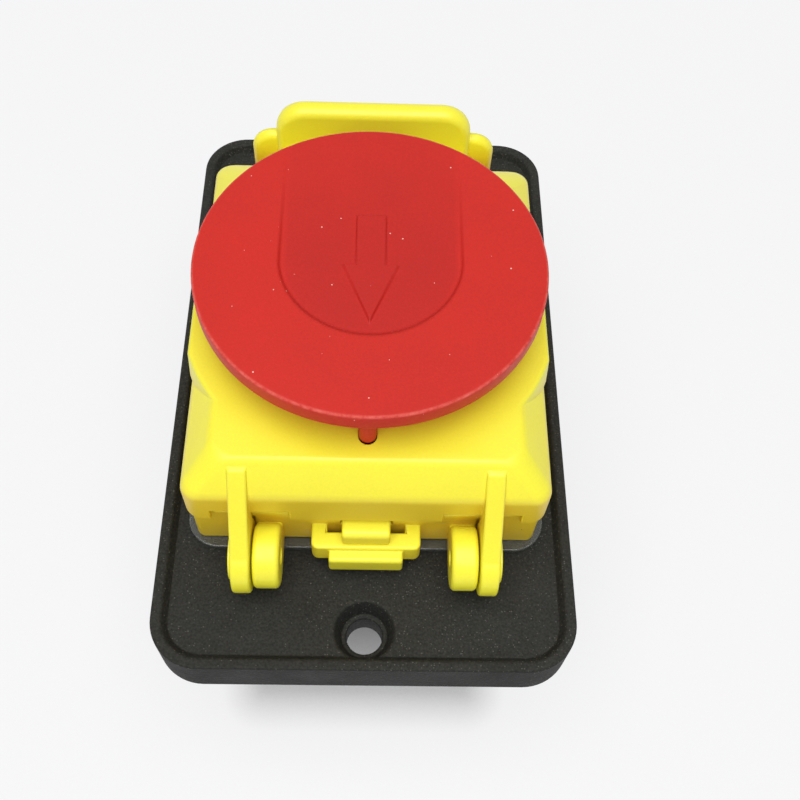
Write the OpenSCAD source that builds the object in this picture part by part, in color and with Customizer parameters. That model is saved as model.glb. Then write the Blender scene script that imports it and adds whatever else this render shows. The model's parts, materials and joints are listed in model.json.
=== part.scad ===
// Magnetic switch with a hinged stop lid on a panel mounting plate.
// Millimetres, +Z up out of the panel, the lid's hinge towards -Y.
// The origin is on the panel face, midway between the two fixing holes.

/* [Mounting plate] */
// Width of the plate
plate_w = 70; // [68:0.5:90]
// Length of the plate, along the line of the fixing holes
plate_l = 114; // [112:0.5:140]
// Height of the rim above the panel
plate_h = 9.5; // [9:0.1:12]
// Radius of the plate's corners
plate_corner_r = 8.5; // [5:0.1:10]
// Thickness of the plate's side walls
plate_wall = 2.2; // [1.5:0.1:3]
// Thickness of the plate's floor
plate_floor_t = 2; // [1.5:0.1:2.5]
// Depth of the floor below the rim
rim_depth = 1.5; // [1:0.1:2]
// Width of the flat on top of the rim
rim_w = 1.7; // [1:0.1:2.5]
// Width of the slope between the rim and the floor
rim_slope_w = 1; // [0.5:0.1:1.5]
// Distance between the fixing holes
hole_spacing = 100; // [96:0.5:102]
// Diameter of a fixing hole
hole_d = 6; // [4:0.1:6.5]
// Diameter of the screw recess at the floor
recess_d = 10; // [8.5:0.1:11]
// Diameter at the foot of the screw recess
recess_foot_d = 7.6; // [7:0.1:8.4]
// Depth of the screw recess
recess_depth = 3; // [1:0.1:5]
// Diameter of the boss round a fixing hole
hole_boss_d = 12.5; // [11.5:0.1:13]

/* [Seal] */
// Reach of the clear seal's flange round the base frame
seal_out = 1.85; // [1.2:0.05:2]
// Radius of the flange's corners
seal_corner_r = 5.5; // [4:0.1:8]
// Thickness of the flange and of the cover over the buttons
seal_t = 1.2; // [0.8:0.1:1.5]
// Thickness of the clear boots on the buttons
boot_t = 0.8; // [0.5:0.1:1]

/* [Lid] */
// Width of the lid
lid_w = 58.5; // [58:0.1:60]
// Length of the lid
lid_l = 68.9; // [68.5:0.1:70]
// Middle of the lid along Y
lid_y = -1.3; // [-1.5:0.05:-1]
// Radius of the lid's upright corners
lid_corner_r = 3; // [2:0.1:5]
// Radius of the corners of the lid's flat top
lid_flat_r = 3.5; // [2:0.1:5]
// Height of the rounding where the slopes meet the skirt and the top
lid_round = 1; // [0.4:0.1:1.4]
// Thickness of the skirt and the sloped sides
lid_wall = 1.5; // [1.2:0.1:2]
// Thickness of the lid's top
lid_top_t = 2; // [1.6:0.1:2.4]
// Height of the skirt's lower edge above the plate's floor
skirt_up = 11.9; // [11.7:0.1:12.4]
// Height of the skirt
skirt_h = 7.5; // [7:0.1:8]
// Height of the slopes above the skirt
slope_h = 6.1; // [5.9:0.1:6.6]
// Width of the slope at the front
slope_front_w = 4.05; // [3:0.05:5]
// Width of the slope at the back
slope_back_w = 7; // [6:0.1:8]
// Width of the slopes at the sides
slope_side_w = 5; // [4:0.1:6]
// Radius of the round drum under the disc, at the flat top
drum_top_r = 31; // [30:0.1:31.4]
// Radius of the drum at its foot
drum_foot_r = 31.5; // [31.4:0.1:33.5]
// Height of the drum
drum_h = 5; // [3:0.1:5.8]
// Rounding of the drum's upper edge
drum_edge_r = 0.8; // [0.4:0.1:1.2]

/* [Hinge] */
// Distance of the hinge line in front of the lid
hinge_out = 4; // [3.8:0.1:4.3]
// Height of the hinge line above the plate's floor
hinge_up = 6.7; // [6.6:0.1:7]
// Radius of the lid arms round the hinge line
arm_r = 6.1; // [5.6:0.1:6.2]
// Inner face of a lid arm from the middle plane
arm_in_x = 18.4; // [18.2:0.1:19]
// Thickness of a lid arm
arm_t = 3.05; // [2.6:0.05:3.6]
// Radius of the base lugs
lug_r = 5.3; // [4.6:0.1:5.4]
// Thickness of a base lug
lug_t = 4.3; // [3:0.1:4.5]
// Rounding of the lugs' edges
lug_edge_r = 0.8; // [0.3:0.1:1]
// Height of a lug's web to the frame, above the hinge axis
lug_web_up = 1; // [0:0.1:3]
// Diameter of the hinge pins
pin_d = 3; // [2:0.1:4]
// Diameter of the hinge pin heads
pin_head_d = 8; // [5:0.1:9]
// Height of the hinge pin heads
pin_head_h = 0.6; // [0.4:0.1:0.8]
// Width of a skirt notch over a lug and an arm
notch_w = 12.4; // [11.5:0.1:13]
// Height of a skirt notch
notch_h = 2.8; // [2:0.1:3.5]

/* [Stop disc] */
// Diameter of the red disc
disc_d = 56.2; // [54:0.1:58]
// Thickness of the disc
disc_t = 3.5; // [3:0.1:4.5]
// Gap between the lid's flat top and the disc
disc_gap = 7.5; // [6.5:0.1:9]
// Rounding of the disc's edges
disc_edge_r = 0.6; // [0.3:0.1:1.2]
// Half width of the finger recess
thumb_r = 14.5; // [10:0.1:16]
// Middle of the recess's round end, behind the disc's middle
thumb_back = 0.7; // [-1:0.1:4]
// Where the recess's floor runs out, behind the disc's middle
thumb_out = 24; // [16:0.1:25]
// Depth of the recess at its round end
thumb_depth = 1.3; // [0.5:0.1:1.6]
// Width of the arrow's shaft
arrow_shaft_w = 4.75; // [3:0.05:6]
// Width of the arrow's head
arrow_head_w = 8.8; // [7:0.1:11]
// Length of the arrow's shaft
arrow_shaft_l = 9.8; // [6:0.1:12]
// Length of the arrow's head
arrow_head_l = 10.45; // [6:0.05:11]
// Height of the arrow above the recess's floor
arrow_up = 0.3; // [0.1:0.05:0.5]
// Distance of the arrow's tip from the disc's middle
arrow_reach = 10.65; // [8:0.05:12]
// Diameter of the front guide peg
peg_d = 2.8; // [2:0.1:3.5]
// Distance of the guide peg from the disc's middle
peg_reach = 25.1; // [24:0.1:25.6]
// Stop travel of the disc and of the off button
press_travel = 3; // [2:0.1:3]
// Diameter of the disc's stem
stem_d = 8; // [6:0.1:9]
// Diameter of the slider's guide tube
tube_d = 13; // [12:0.1:14]

/* [Latch] */
// Latch travel of the slider
latch_travel = 3.2; // [2.5:0.1:3.4]
// Thickness of the slider
slider_t = 2.5; // [2:0.1:2.6]
// Width of the slider
slider_w = 24; // [22:0.5:26]
// Width of the latch bolt
bolt_w = 12; // [8:0.5:14]
// How far the bolt stands out of the lid at rest
bolt_out = 0.3; // [0.1:0.1:0.5]

/* [Base frame] */
// Inset of the base frame's sides under the lid's skirt
base_inset = 0.6; // [0.4:0.1:1]
// Height of the lip inside the lid's skirt
lip_h = 2.6; // [1.5:0.1:3]
// Thickness of the lip
lip_t = 1.4; // [1.2:0.1:1.6]
// Width of the latch post
post_w = 35.6; // [30:0.1:40]
// Width of the post with its shoulders
post_shoulder_w = 45.2; // [42:0.1:48]
// Thickness of the latch post
post_t = 4; // [3.8:0.1:5]
// Height of the post's top above the plate's floor
post_up = 31.8; // [28:0.1:33]
// Height of the shoulders above the plate's floor
shoulder_up = 24.8; // [22:0.1:26]
// Rounding of the post's upper corners
post_corner_r = 5.5; // [3:0.1:6]
// Rounding of the post's edges
post_edge_r = 1.6; // [0.5:0.1:1.8]
// Gap between the lid's back and the post
post_gap = 1; // [0.8:0.1:1.4]
// Width of the front loop
loop_w = 18; // [16:0.1:20]
// Width of the loop's legs
loop_leg_w = 2.6; // [2:0.1:3]
// Reach of the loop in front of the base frame
loop_l = 4.4; // [4:0.1:4.6]
// Length of the loop's window
loop_window_l = 1.4; // [1:0.1:1.8]
// Thickness of the loop
loop_t = 4.7; // [3:0.1:5]
// Width of the finger bar on the loop
finger_w = 12.2; // [8:0.1:14]
// Length of the finger bar
finger_l = 1.9; // [1.5:0.1:2.2]
// Width of the clamp ring's tongue
tongue_w = 7.9; // [5:0.1:9]
// Thickness of the clamp ring's tongue
tongue_t = 3.4; // [2.5:0.1:3.6]
// Rounding of the tongue's nose
tongue_nose_r = 1.2; // [0.5:0.1:1.5]

/* [Switch body] */
// Middle of the switch and of the disc along Y
switch_y = -2.3; // [-2.5:0.05:-2]
// Width of the switch case
case_w = 40; // [40:0.5:42]
// Length of the switch case
case_l = 54; // [54:0.5:58]
// Depth of the case behind the panel
case_depth = 34; // [34:0.5:44]
// Thickness of the case's walls
case_wall = 2; // [1.6:0.1:2]
// Height of the open terminal bay under the case
bay_h = 7; // [6.5:0.1:7.6]
// Thickness of the case's inner floor
case_floor_t = 2; // [1.5:0.1:2.5]
// Width of the neck that stands through the plate
neck_w = 33; // [32:0.1:33]
// Length of the neck
neck_l = 48; // [47:0.1:48.4]
// Height of the neck above the plate's floor
neck_h = 10; // [9.6:0.1:10.2]
// Thickness of the neck's walls
neck_wall = 1.6; // [1.2:0.1:2]
// Diameter of the frame screws
screw_d = 3; // [2.5:0.1:3]

/* [Buttons] */
// Distance of each button from the middle along Y
button_y = 12; // [11.8:0.1:12.4]
// Width of a button
button_w = 14; // [12:0.1:15]
// Height of the off button above the neck
off_h = 5.1; // [4.8:0.1:5.3]
// Height of the on button above the neck
on_h = 3.8; // [3.6:0.1:3.9]
// Diameter of the buttons' stems
button_stem_d = 6; // [5:0.1:7]

/* [Contacts and coil] */
// Width of the iron core across its plates
core_w = 11; // [8:0.5:12]
// Length of the iron core
core_l = 32; // [28:0.5:32]
// Height of the iron core
core_h = 11.4; // [10.5:0.1:11.6]
// Thickness of the armature plate
armature_t = 2.4; // [1.8:0.1:2.4]
// Distance of the contact bridges from the middle plane
bridge_x = 12; // [11.5:0.1:12.5]
// Width of a tab terminal
tab_w = 6.3; // [4.8:0.1:6.3]
// Thickness of a tab terminal
tab_t = 0.8; // [0.5:0.1:1]

/* [Fits] */
// Clearance of sliding plastic pieces
slide_gap = 0.3; // [0.25:0.05:0.4]
// Gap between the lid's skirt and the base frame's lip
lap_gap = 0.6; // [0.5:0.05:0.7]
// Radial clearance of a pin or a stem that runs in a hole
run_gap = 0.05; // [0.02:0.01:0.1]
// Radial clearance of a pin or a screw that is held
hold_gap = 0.02; // [0.01:0.01:0.05]

/* [Hidden] */
$fn = 64;
hull_fn = 32;
edge_step = 30;
eps = 0.01;
skin = 0.02;
over = 1;

floor_z = plate_h - rim_depth;
floor_under_z = floor_z - plate_floor_t;
seal_top_z = floor_z + seal_t;

skirt_z = floor_z + skirt_up;
slope_z = skirt_z + skirt_h;
lid_top_z = slope_z + slope_h;
lid_inner_z = lid_top_z - lid_top_t;
lid_front_y = lid_y - lid_l / 2;
lid_back_y = lid_y + lid_l / 2;
lid_in_r = 1;
round_share = 0.25;
wall_drop = 0.55;
disc_y = switch_y;
thumb_y = disc_y + thumb_back;
thumb_out_y = disc_y + thumb_out;
arrow_tip_y = disc_y - arrow_reach;

hinge_y = lid_front_y - hinge_out;
hinge_z = floor_z + hinge_up;
lug_out_x = arm_in_x - slide_gap;
notch_side = 1.4;
notch_x = lug_out_x - lug_t - notch_side;
arm_out_x = arm_in_x + arm_t;
arm_room = 0.4;
arm_foot = 0.4;
arm_head = 1.2;
arm_proud = 0.7;
kink_deg = 64;
kink_y = hinge_y - arm_r * cos(kink_deg);
kink_z = hinge_z + arm_r * sin(kink_deg);
pin_short = 0.4;

lip_in = lid_wall + lap_gap;
base_wall = lap_gap + lip_t;
base_w = lid_w - 2 * base_inset;
base_l = lid_l - 2 * lid_wall;
base_corner_r = max(lid_corner_r - lid_wall, 1);
lip_w = lid_w - 2 * lip_in;
lip_l = lid_l - 2 * lip_in;
base_in_w = lip_w - 2 * lip_t;
base_in_l = lip_l - 2 * lip_t;
base_in_r = 0.5;
base_front_y = lid_y - base_l / 2;
base_back_y = lid_y + base_l / 2;
seal_w = base_w + 2 * seal_out;
seal_l = base_l + 2 * seal_out;
shoulder_gap = 0.5;
base_z = seal_top_z;
ledge_z = skirt_z - shoulder_gap;
lip_z = skirt_z + lip_h;

post_y = lid_back_y + post_gap;
post_back_y = post_y + post_t;
post_z = floor_z + post_up;
shoulder_z = floor_z + shoulder_up;
shoulder_back = 1.4;
shoulder_round = 0.75;
gusset_t = 2;
gusset_in = 4;
gusset_low = 1;
pocket_room = 0.5;
pocket_spare = 0.4;
pocket_depth = bolt_out + latch_travel - post_gap + pocket_spare;

loop_up = 1.5;
loop_r = 1.2;
loop_z = base_z + loop_up;
loop_top_z = loop_z + loop_t;
loop_front_y = base_front_y - loop_l;
finger_low = 0.2;
finger_drop = 0.9;
finger_r = 0.7;
ring_h = 3;
ring_side = 1.7;
ring_end = 2.4;
tongue_gap = 0.1;
tongue_wall = 2;
tongue_back = 0.6;
tongue_hook = 2;
tongue_z = loop_top_z + tongue_gap;
tongue_top_z = tongue_z + tongue_t;

neck_top_z = floor_z + neck_h;
neck_corner_r = 3;
seal_gap = 0.2;
cover_z = neck_top_z + seal_t;
flange_t = 3;
flange_edge = 3.4;
flange_r = 4;
flange_short = 2;
flange_l = case_l - flange_short;
flange_z = floor_under_z - flange_t;
case_z = -case_depth;
bay_z = case_z + bay_h;
inside_z = bay_z + case_floor_t;
case_r = 2.5;
case_in_r = 1;
case_in_w = case_w - 2 * case_wall;
case_in_l = case_l - 2 * case_wall;
bezel_foot_h = 4;
bezel_top_t = 2;
deck_t = 2;
deck_z = floor_under_z - bezel_foot_h - deck_t;
deck_top_z = deck_z + deck_t;
deck_w = case_in_w - 2 * seal_gap;
deck_l = case_in_l - 2 * seal_gap;
ledge_w = 1;
screw_side = 3.6;
screw_boss_d = 6.8;
ring_in_w = neck_w + 2 * (seal_gap + seal_t + slide_gap);
ring_in_l = neck_l + 2 * (seal_gap + seal_t + slide_gap);
ring_w = ring_in_w + 2 * ring_side;
screw_x = max(case_w / 2 + screw_side, ring_w / 2 + slide_gap + screw_boss_d / 2);
screw_y = 20;
flange_w = 2 * (screw_x + flange_edge);
screw_web_t = 3;
screw_head_d = 5.4;
screw_head_h = 2;
screw_slot = [3, 0.7, 2];
screw_short = 0.5;
screw_cap = 2;
screw_reach = 7;
rib_t = 1.5;
rib_gap = 1;
rib_z = 2;
rib_front_y = switch_y - flange_l / 2 - rib_gap;
rib_back_y = switch_y + flange_l / 2 + rib_gap;

off_y = switch_y - button_y;
on_y = switch_y + button_y;
button_r = 2.5;
button_flange = 1.5;
button_flange_t = 2;
button_flange_z = neck_top_z - bezel_top_t - slide_gap - button_flange_t;
off_top_z = neck_top_z + off_h;
on_top_z = neck_top_z + on_h;
boot_foot_z = neck_top_z + press_travel + slide_gap;
boot_room = 0.5;
button_spring_room = 1.2;
button_spring_d = button_stem_d + 2 * button_spring_room;
button_spring_wire = 0.9;
spring_turns = 5;

slider_z = lid_inner_z - slide_gap - slider_t;
slider_top_z = slider_z + slider_t;
slider_back = 18;
slider_front = 11;
slider_back_y = disc_y + slider_back;
slider_front_y = disc_y - slider_front;
bolt_tip_y = lid_back_y + bolt_out;
disc_z = lid_top_z + disc_gap;
disc_top_z = disc_z + disc_t;
tube_step = 0.6;
tube_neck_d = tube_d - 2 * tube_step;
tube_spare = 1;
tube_top_z = disc_z - press_travel - tube_spare;
shield_gap = 0.4;
shield_z = lid_top_z + shield_gap;
shield_t = 1;
shield_out = 2.5;
shield_d = tube_d + 2 * shield_out;
stop_spring_room = 0.8;
stop_spring_d = tube_d + 2 * stop_spring_room;
stop_spring_wire = 0.9;
stop_spring_turns = 4;
hub_room = 3;
hub_wall = 1.5;
hub_in_d = tube_d + 2 * hub_room;
hub_out_d = hub_in_d + 2 * hub_wall;
hub_z = lid_top_z + press_travel + tube_spare;
peg_gap = 0.1;
peg_z = lid_top_z + peg_gap;
foot_top_z = slider_z - slide_gap;
foot_t = 2.3;
foot_z = foot_top_z - foot_t;
foot_out = 1.5;
foot_d = stem_d + 2 * foot_out;
foot_w = 8;
pusher_screw_d = 2.5;
pusher_head_d = 5;
pusher_head_h = 1.2;
pusher_screw_l = 5;
pusher_tip_z = foot_top_z + pusher_screw_l;
pad_z = off_top_z + boot_t + slide_gap;
pad_d = 8;
rail_lip = 1.8;
rail_web = 2;
rail_l = 24;
rail_back = 2;
rail_y = disc_y + rail_back;
rail_flange_w = 6;
rail_flange_t = 2;
rail_screw_d = 2.2;
rail_screw_in = 4;
rail_head_d = 4;
rail_head_h = 1.4;
rail_boss_d = 4.6;
rail_lip_t = 2;
rail_hole_cap = 0.8;
rail_screw_cap = 1.2;
rail_in_x = slider_w / 2 + slide_gap;
rail_web_x = rail_in_x + rail_web;
rail_screw_x = rail_web_x + rail_flange_w / 2;
rail_flange_z = slider_z - slide_gap;
rail_top_z = rail_flange_z + rail_flange_t;
rail_lip_z = rail_flange_z - rail_lip_t;
rail_out_x = rail_web_x + rail_flange_w;

carrier_drop = 2.5;
carrier_top_z = deck_z - carrier_drop;
carrier_z = inside_z + core_h + press_travel + slide_gap + armature_t;
carrier_w = 14;
carrier_l = 10;
carrier_plate_t = 2;
carrier_arm_out = 2.6;
carrier_roof_t = 1;
carrier_slot_w = 3.8;
armature_z = carrier_z - armature_t;
core_back = 2;
core_y = switch_y - core_back;
core_back_t = 4;
core_leg_l = 5;
core_mid_l = 8;
bobbin_gap = 0.1;
bobbin_t = 0.8;
bobbin_short = 0.4;
bobbin_side = 0.3;
bobbin_r = 0.5;
winding_in = 0.5;
bobbin_z = inside_z + core_back_t;
bobbin_top_z = inside_z + core_h - bobbin_short;
bobbin_out = (core_l - core_mid_l) / 2 - core_leg_l - bobbin_side;
bridge_t = 1;
bridge_up = 1.2;
bridge_z = carrier_z + bridge_up;
bridge_l = 20;
bridge_w = 3.2;
bridge_arm_w = 3.6;
pad_t = 1;
contact_d = 3;
contact_in = 2;
contact_spring_d = 2.4;
contact_spring_wire = 0.5;
contact_spring_turns = 3;
fixed_z = bridge_z - press_travel - slide_gap - pad_t;
fixed_w = 4.8;
stop_drop = 3.6;
stop_bridge_z = deck_z - stop_drop;
stop_bridge_w = 15;
stop_bridge_l = 3.6;
stop_stem_d = 3;
stop_stem_up = 1.5;
stop_stem_down = 0.5;
stop_arm_x = 5;
stop_arm_w = 4.4;
stop_link_w = 2.2;
stop_contact_z = stop_bridge_z + bridge_t + slide_gap;
tab_out = 1.6;
tab_x = bridge_x + tab_out;
tab_up = 0.6;
tab_foot_z = case_z + tab_up;
bridge_end = 2;
line_y = on_y + bridge_l / 2 - bridge_end;
load_y = on_y - bridge_l / 2 + bridge_end;
coil_tab_front = 17;
coil_tab_y = switch_y - coil_tab_front;
tab_rows = [line_y, load_y, coil_tab_y];
spring_back = 19.5;
spring_y = switch_y + spring_back;
spring_x = 5;
carrier_gap = 1;
carrier_seat = 3;
carrier_front_y = off_y + stop_arm_w / 2 + carrier_gap;
carrier_back_y = spring_y + carrier_seat;
return_spring_d = 4.6;
return_spring_wire = 0.7;
return_spring_turns = 6;

// Rectangle with round corners
module round_rect(w, l, r) {
    square([w - 2 * r, l], center = true);
    square([w, l - 2 * r], center = true);
    for (x = [-1, 1], y = [-1, 1]) translate([x * (w / 2 - r), y * (l / 2 - r)]) circle(r);
}

// Block with round upright corners, from height z0 to z1
module round_block(w, l, r, z0, z1) {
    translate([0, 0, z0]) linear_extrude(z1 - z0) round_rect(w, l, r);
}

// The same block about the middle of the switch
module mid_block(w, l, r, z0, z1) {
    translate([0, switch_y, 0]) round_block(w, l, r, z0, z1);
}

// Block with round upright corners about the middle of the lid
module lid_block(w, l, r, z0, z1) {
    translate([0, lid_y, 0]) round_block(w, l, r, z0, z1);
}

// Round-cornered frustum: one rectangle at z0 and a smaller one at z1
module slope_block(w0, l0, r0, z0, w1, l1, r1, z1) {
    hull() {
        round_block(w0, l0, r0, z0 - eps, z0, $fn = hull_fn);
        round_block(w1, l1, r1, z1 - eps, z1, $fn = hull_fn);
    }
}

// Round disc with round edges, standing on the origin
module round_disc(r, t, e) {
    rotate_extrude() {
        square([r - e, t]);
        translate([0, e]) square([r, t - 2 * e]);
        for (z = [e, t - e]) translate([r - e, z]) circle(e);
    }
}

// Bar along X with a round upper front edge
module nose_bar(w, y0, y1, z0, z1, r) {
    side_profile(-w / 2, w / 2) {
        translate([y0 + r, z0]) square([y1 - y0 - r, z1 - z0]);
        translate([y0, z0]) square([r + eps, z1 - z0 - r]);
        translate([y0 + r, z1 - r]) circle(r);
    }
}

// Cylinder along Z from z0 to z1
module post(d, z0, z1) {
    translate([0, 0, z0]) cylinder(d = d, h = z1 - z0);
}

// Cylinder along X from x0 to x1
module bar_x(d, x0, x1) {
    translate([x0, 0, 0]) rotate([0, 90, 0]) cylinder(d = d, h = x1 - x0);
}

// Box from one corner to the other
module span(a, b) {
    translate(a) cube(b - a);
}

// Profile in the YZ plane, from x0 to x1
module side_profile(x0, x1) {
    translate([x0, 0, 0]) rotate([90, 0, 90]) linear_extrude(x1 - x0) children();
}

// Profile in the XZ plane, from y0 to y1
module front_profile(y0, y1) {
    translate([0, y1, 0]) rotate([90, 0, 0]) linear_extrude(y1 - y0) children();
}

// Left and right copies
module both_sides() {
    children();
    mirror([1, 0, 0]) children();
}

// Slot along Y: a round hole that is drawn out by travel
module slot_y(d, travel, z0, z1) {
    post(d, z0, z1);
    translate([0, travel, 0]) post(d, z0, z1);
    span([-d / 2, 0, z0], [d / 2, travel, z1]);
}

// Coil spring about Z, from z0 to z1
function coil_ring(r, wire, a, z, sides) = [for (k = [0:sides - 1]) let (b = 360 * k / sides)
    [(r + wire / 2 * cos(b)) * cos(a), (r + wire / 2 * cos(b)) * sin(a), z + wire / 2 * sin(b)]];

module coil_spring(d, wire, z0, z1, turns, steps = 12, sides = 6) {
    n = turns * steps;
    rise = z1 - z0 - wire;
    points = [for (i = [0:n])
        each coil_ring(d / 2, wire, 360 * i / steps, z0 + wire / 2 + rise * i / n, sides)];
    walls = [for (i = [0:n - 1], k = [0:sides - 1]) let (j = (k + 1) % sides)
        each [[i * sides + k, (i + 1) * sides + k, (i + 1) * sides + j],
            [i * sides + k, (i + 1) * sides + j, i * sides + j]]];
    foot = [for (k = [0:sides - 1]) k];
    head = [for (k = [sides - 1:-1:0]) n * sides + k];
    polyhedron(points, concat(walls, [foot, head]), convexity = 10);
}

module at_screws() {
    for (x = [-1, 1], y = [-1, 1]) translate([x * screw_x, switch_y + y * screw_y, 0]) children();
}

module at_hinge() {
    translate([0, hinge_y, hinge_z]) children();
}

// Black tray with a rim, open below, with two fixing holes in bosses
module mounting_plate() {
    inset = rim_w + rim_slope_w;
    seal_room_w = seal_w + 2 * seal_gap;
    seal_room_l = seal_l + 2 * seal_gap + 2 * abs(lid_y);
    color("#2b2a28") difference() {
        union() {
            difference() {
                round_block(plate_w, plate_l, plate_corner_r, 0, plate_h);
                slope_block(max(plate_w - 2 * rim_w, seal_room_w), max(plate_l - 2 * rim_w, seal_room_l),
                    plate_corner_r - rim_w, plate_h + eps,
                    max(plate_w - 2 * inset, seal_room_w), max(plate_l - 2 * inset, seal_room_l),
                    plate_corner_r - inset, floor_z + eps);
                round_block(plate_w - 2 * plate_wall, plate_l - 2 * plate_wall, plate_corner_r - plate_wall,
                    -over, floor_under_z);
            }
            for (y = [-1, 1]) translate([0, y * hole_spacing / 2, 0]) post(hole_boss_d, 0, floor_z);
            span([-rib_t / 2, -hole_spacing / 2, rib_z], [rib_t / 2, rib_front_y, floor_z]);
            span([-rib_t / 2, rib_back_y, rib_z], [rib_t / 2, hole_spacing / 2, floor_z]);
        }
        for (y = [-1, 1]) translate([0, y * hole_spacing / 2, 0]) {
            post(hole_d, -over, floor_z + over);
            translate([0, 0, floor_z - recess_depth])
                cylinder(d1 = recess_foot_d, d2 = recess_d, h = recess_depth + eps);
        }
        mid_block(neck_w + 2 * slide_gap, neck_l + 2 * slide_gap, neck_corner_r + slide_gap, 0, plate_h);
        at_screws() post(screw_d + 2 * slide_gap, 0, plate_h);
    }
}

// Clear moulded seal: flange on the plate, wall round the neck, cover with two button openings
module clear_seal() {
    in_w = neck_w + 2 * seal_gap;
    in_l = neck_l + 2 * seal_gap;
    in_r = neck_corner_r + seal_gap;
    hole = button_w + 2 * boot_t + 2 * boot_room;
    color("#c9d0d2", 0.5) difference() {
        union() {
            lid_block(seal_w, seal_l, seal_corner_r, floor_z, seal_top_z);
            mid_block(in_w + 2 * seal_t, in_l + 2 * seal_t, in_r + seal_t, floor_z, cover_z);
        }
        mid_block(in_w, in_l, in_r, floor_z - over, neck_top_z);
        at_buttons()
            round_block(hole, hole, button_r + boot_t + boot_room, neck_top_z - over, cover_z + over);
        at_screws() post(screw_d + 2 * slide_gap, floor_z - over, seal_top_z + over);
    }
}

// Loop plate and finger bar in front of the base frame
module front_loop() {
    r = loop_r;
    window_w = loop_w - 2 * loop_leg_w;
    translate([0, 0, loop_z]) linear_extrude(loop_t) difference() {
        union() {
            translate([-loop_w / 2, loop_front_y + r]) square([loop_w, loop_l - r + base_wall]);
            translate([r - loop_w / 2, loop_front_y]) square([loop_w - 2 * r, r + eps]);
            for (x = [-1, 1]) translate([x * (loop_w / 2 - r), loop_front_y + r]) circle(r);
        }
        translate([-window_w / 2, base_front_y - loop_window_l]) square([window_w, loop_window_l]);
    }
    nose_bar(finger_w, loop_front_y - finger_l, loop_front_y + eps, loop_z - finger_low,
        loop_top_z - finger_drop, finger_r);
}

// Upright wall behind the lid with a pocket for the latch bolt
module latch_post() {
    foot_y = base_back_y - base_wall;
    shoulder_y = post_y + shoulder_back;
    difference() {
        union() {
            post_panel(post_w, post_corner_r, post_z, post_y, post_back_y);
            post_panel(post_shoulder_w, post_corner_r * shoulder_round, shoulder_z, shoulder_y, post_back_y);
            span([-post_shoulder_w / 2, foot_y, base_z],
                [post_shoulder_w / 2, shoulder_y + eps, base_z + base_wall]);
            for (x = [-1, 1]) translate([x * (post_w / 2 - gusset_in), 0, 0])
                span([-gusset_t / 2, foot_y, base_z], [gusset_t / 2, post_y + eps, ledge_z - gusset_low]);
        }
        span([-bolt_w / 2 - pocket_room, post_y - over, slider_z - pocket_room],
            [bolt_w / 2 + pocket_room, post_y + pocket_depth, slider_top_z + pocket_room]);
    }
}

// Outline of a wall with round upper corners
module panel_outline(w, r, top_z) {
    translate([-w / 2, floor_z]) square([w, top_z - r - floor_z]);
    translate([-w / 2 + r, top_z - r - eps]) square([w - 2 * r, r + eps]);
    for (x = [-1, 1]) translate([x * (w / 2 - r), top_z - r]) circle(r, $fn = hull_fn);
}

// Flat wall with round upper corners and round edges
module post_panel(w, r, top_z, y0, y1) {
    e = min(post_edge_r, (y1 - y0) / 2 - eps);
    hull() for (a = [0:edge_step:90]) {
        inset = e * (1 - cos(a));
        back = e * (1 - sin(a));
        front_profile(y0 + back, y1 - back) panel_outline(w - 2 * inset, r - inset, top_z - inset);
    }
}

// Webs that tie the screw bosses to the frame's sides
module screw_webs() {
    half_t = screw_web_t / 2;
    both_sides() for (y = [-1, 1]) translate([0, switch_y + y * screw_y, 0])
        span([screw_x, -half_t, base_z], [base_in_w / 2 + eps, half_t, base_z + screw_reach + screw_cap]);
}

// Yellow frame round the neck, with the hinge lugs, the front loop and the latch post
module base_frame() {
    lug_l = base_front_y - hinge_y + base_wall / 2;
    web_h = lug_r + lug_web_up;
    color("#f2c414") difference() {
        union() {
            difference() {
                union() {
                    lid_block(base_w, base_l, base_corner_r, base_z, ledge_z);
                    lid_block(lip_w, lip_l, base_corner_r, ledge_z - eps, lip_z);
                }
                lid_block(base_in_w, base_in_l, base_in_r, base_z - over, lip_z + over);
            }
            at_screws() post(screw_boss_d, base_z, base_z + screw_reach + screw_cap);
            screw_webs();
            both_sides() {
                at_hinge() translate([lug_out_x - lug_t, 0, 0]) rotate([0, 90, 0])
                    round_disc(lug_r, lug_t, lug_edge_r);
                front_profile(hinge_y, hinge_y + lug_l)
                    translate([lug_out_x - lug_t / 2, hinge_z - lug_r + web_h / 2])
                    round_rect(lug_t, web_h, lug_edge_r);
            }
            front_loop();
            latch_post();
        }
        at_screws() post(screw_d + 2 * hold_gap, base_z - over, base_z + screw_reach);
        at_hinge() both_sides() bar_x(pin_d + 2 * run_gap, lug_out_x - lug_t - over, lug_out_x + over);
        at_hinge() both_sides() bar_x(2 * (arm_r + arm_room), lug_out_x, arm_out_x + pin_head_h + slide_gap);
        span([-tongue_w / 2 - seal_gap, base_front_y - over, loop_top_z],
            [tongue_w / 2 + seal_gap, base_front_y + base_wall + over, ledge_z]);
    }
}

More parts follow.
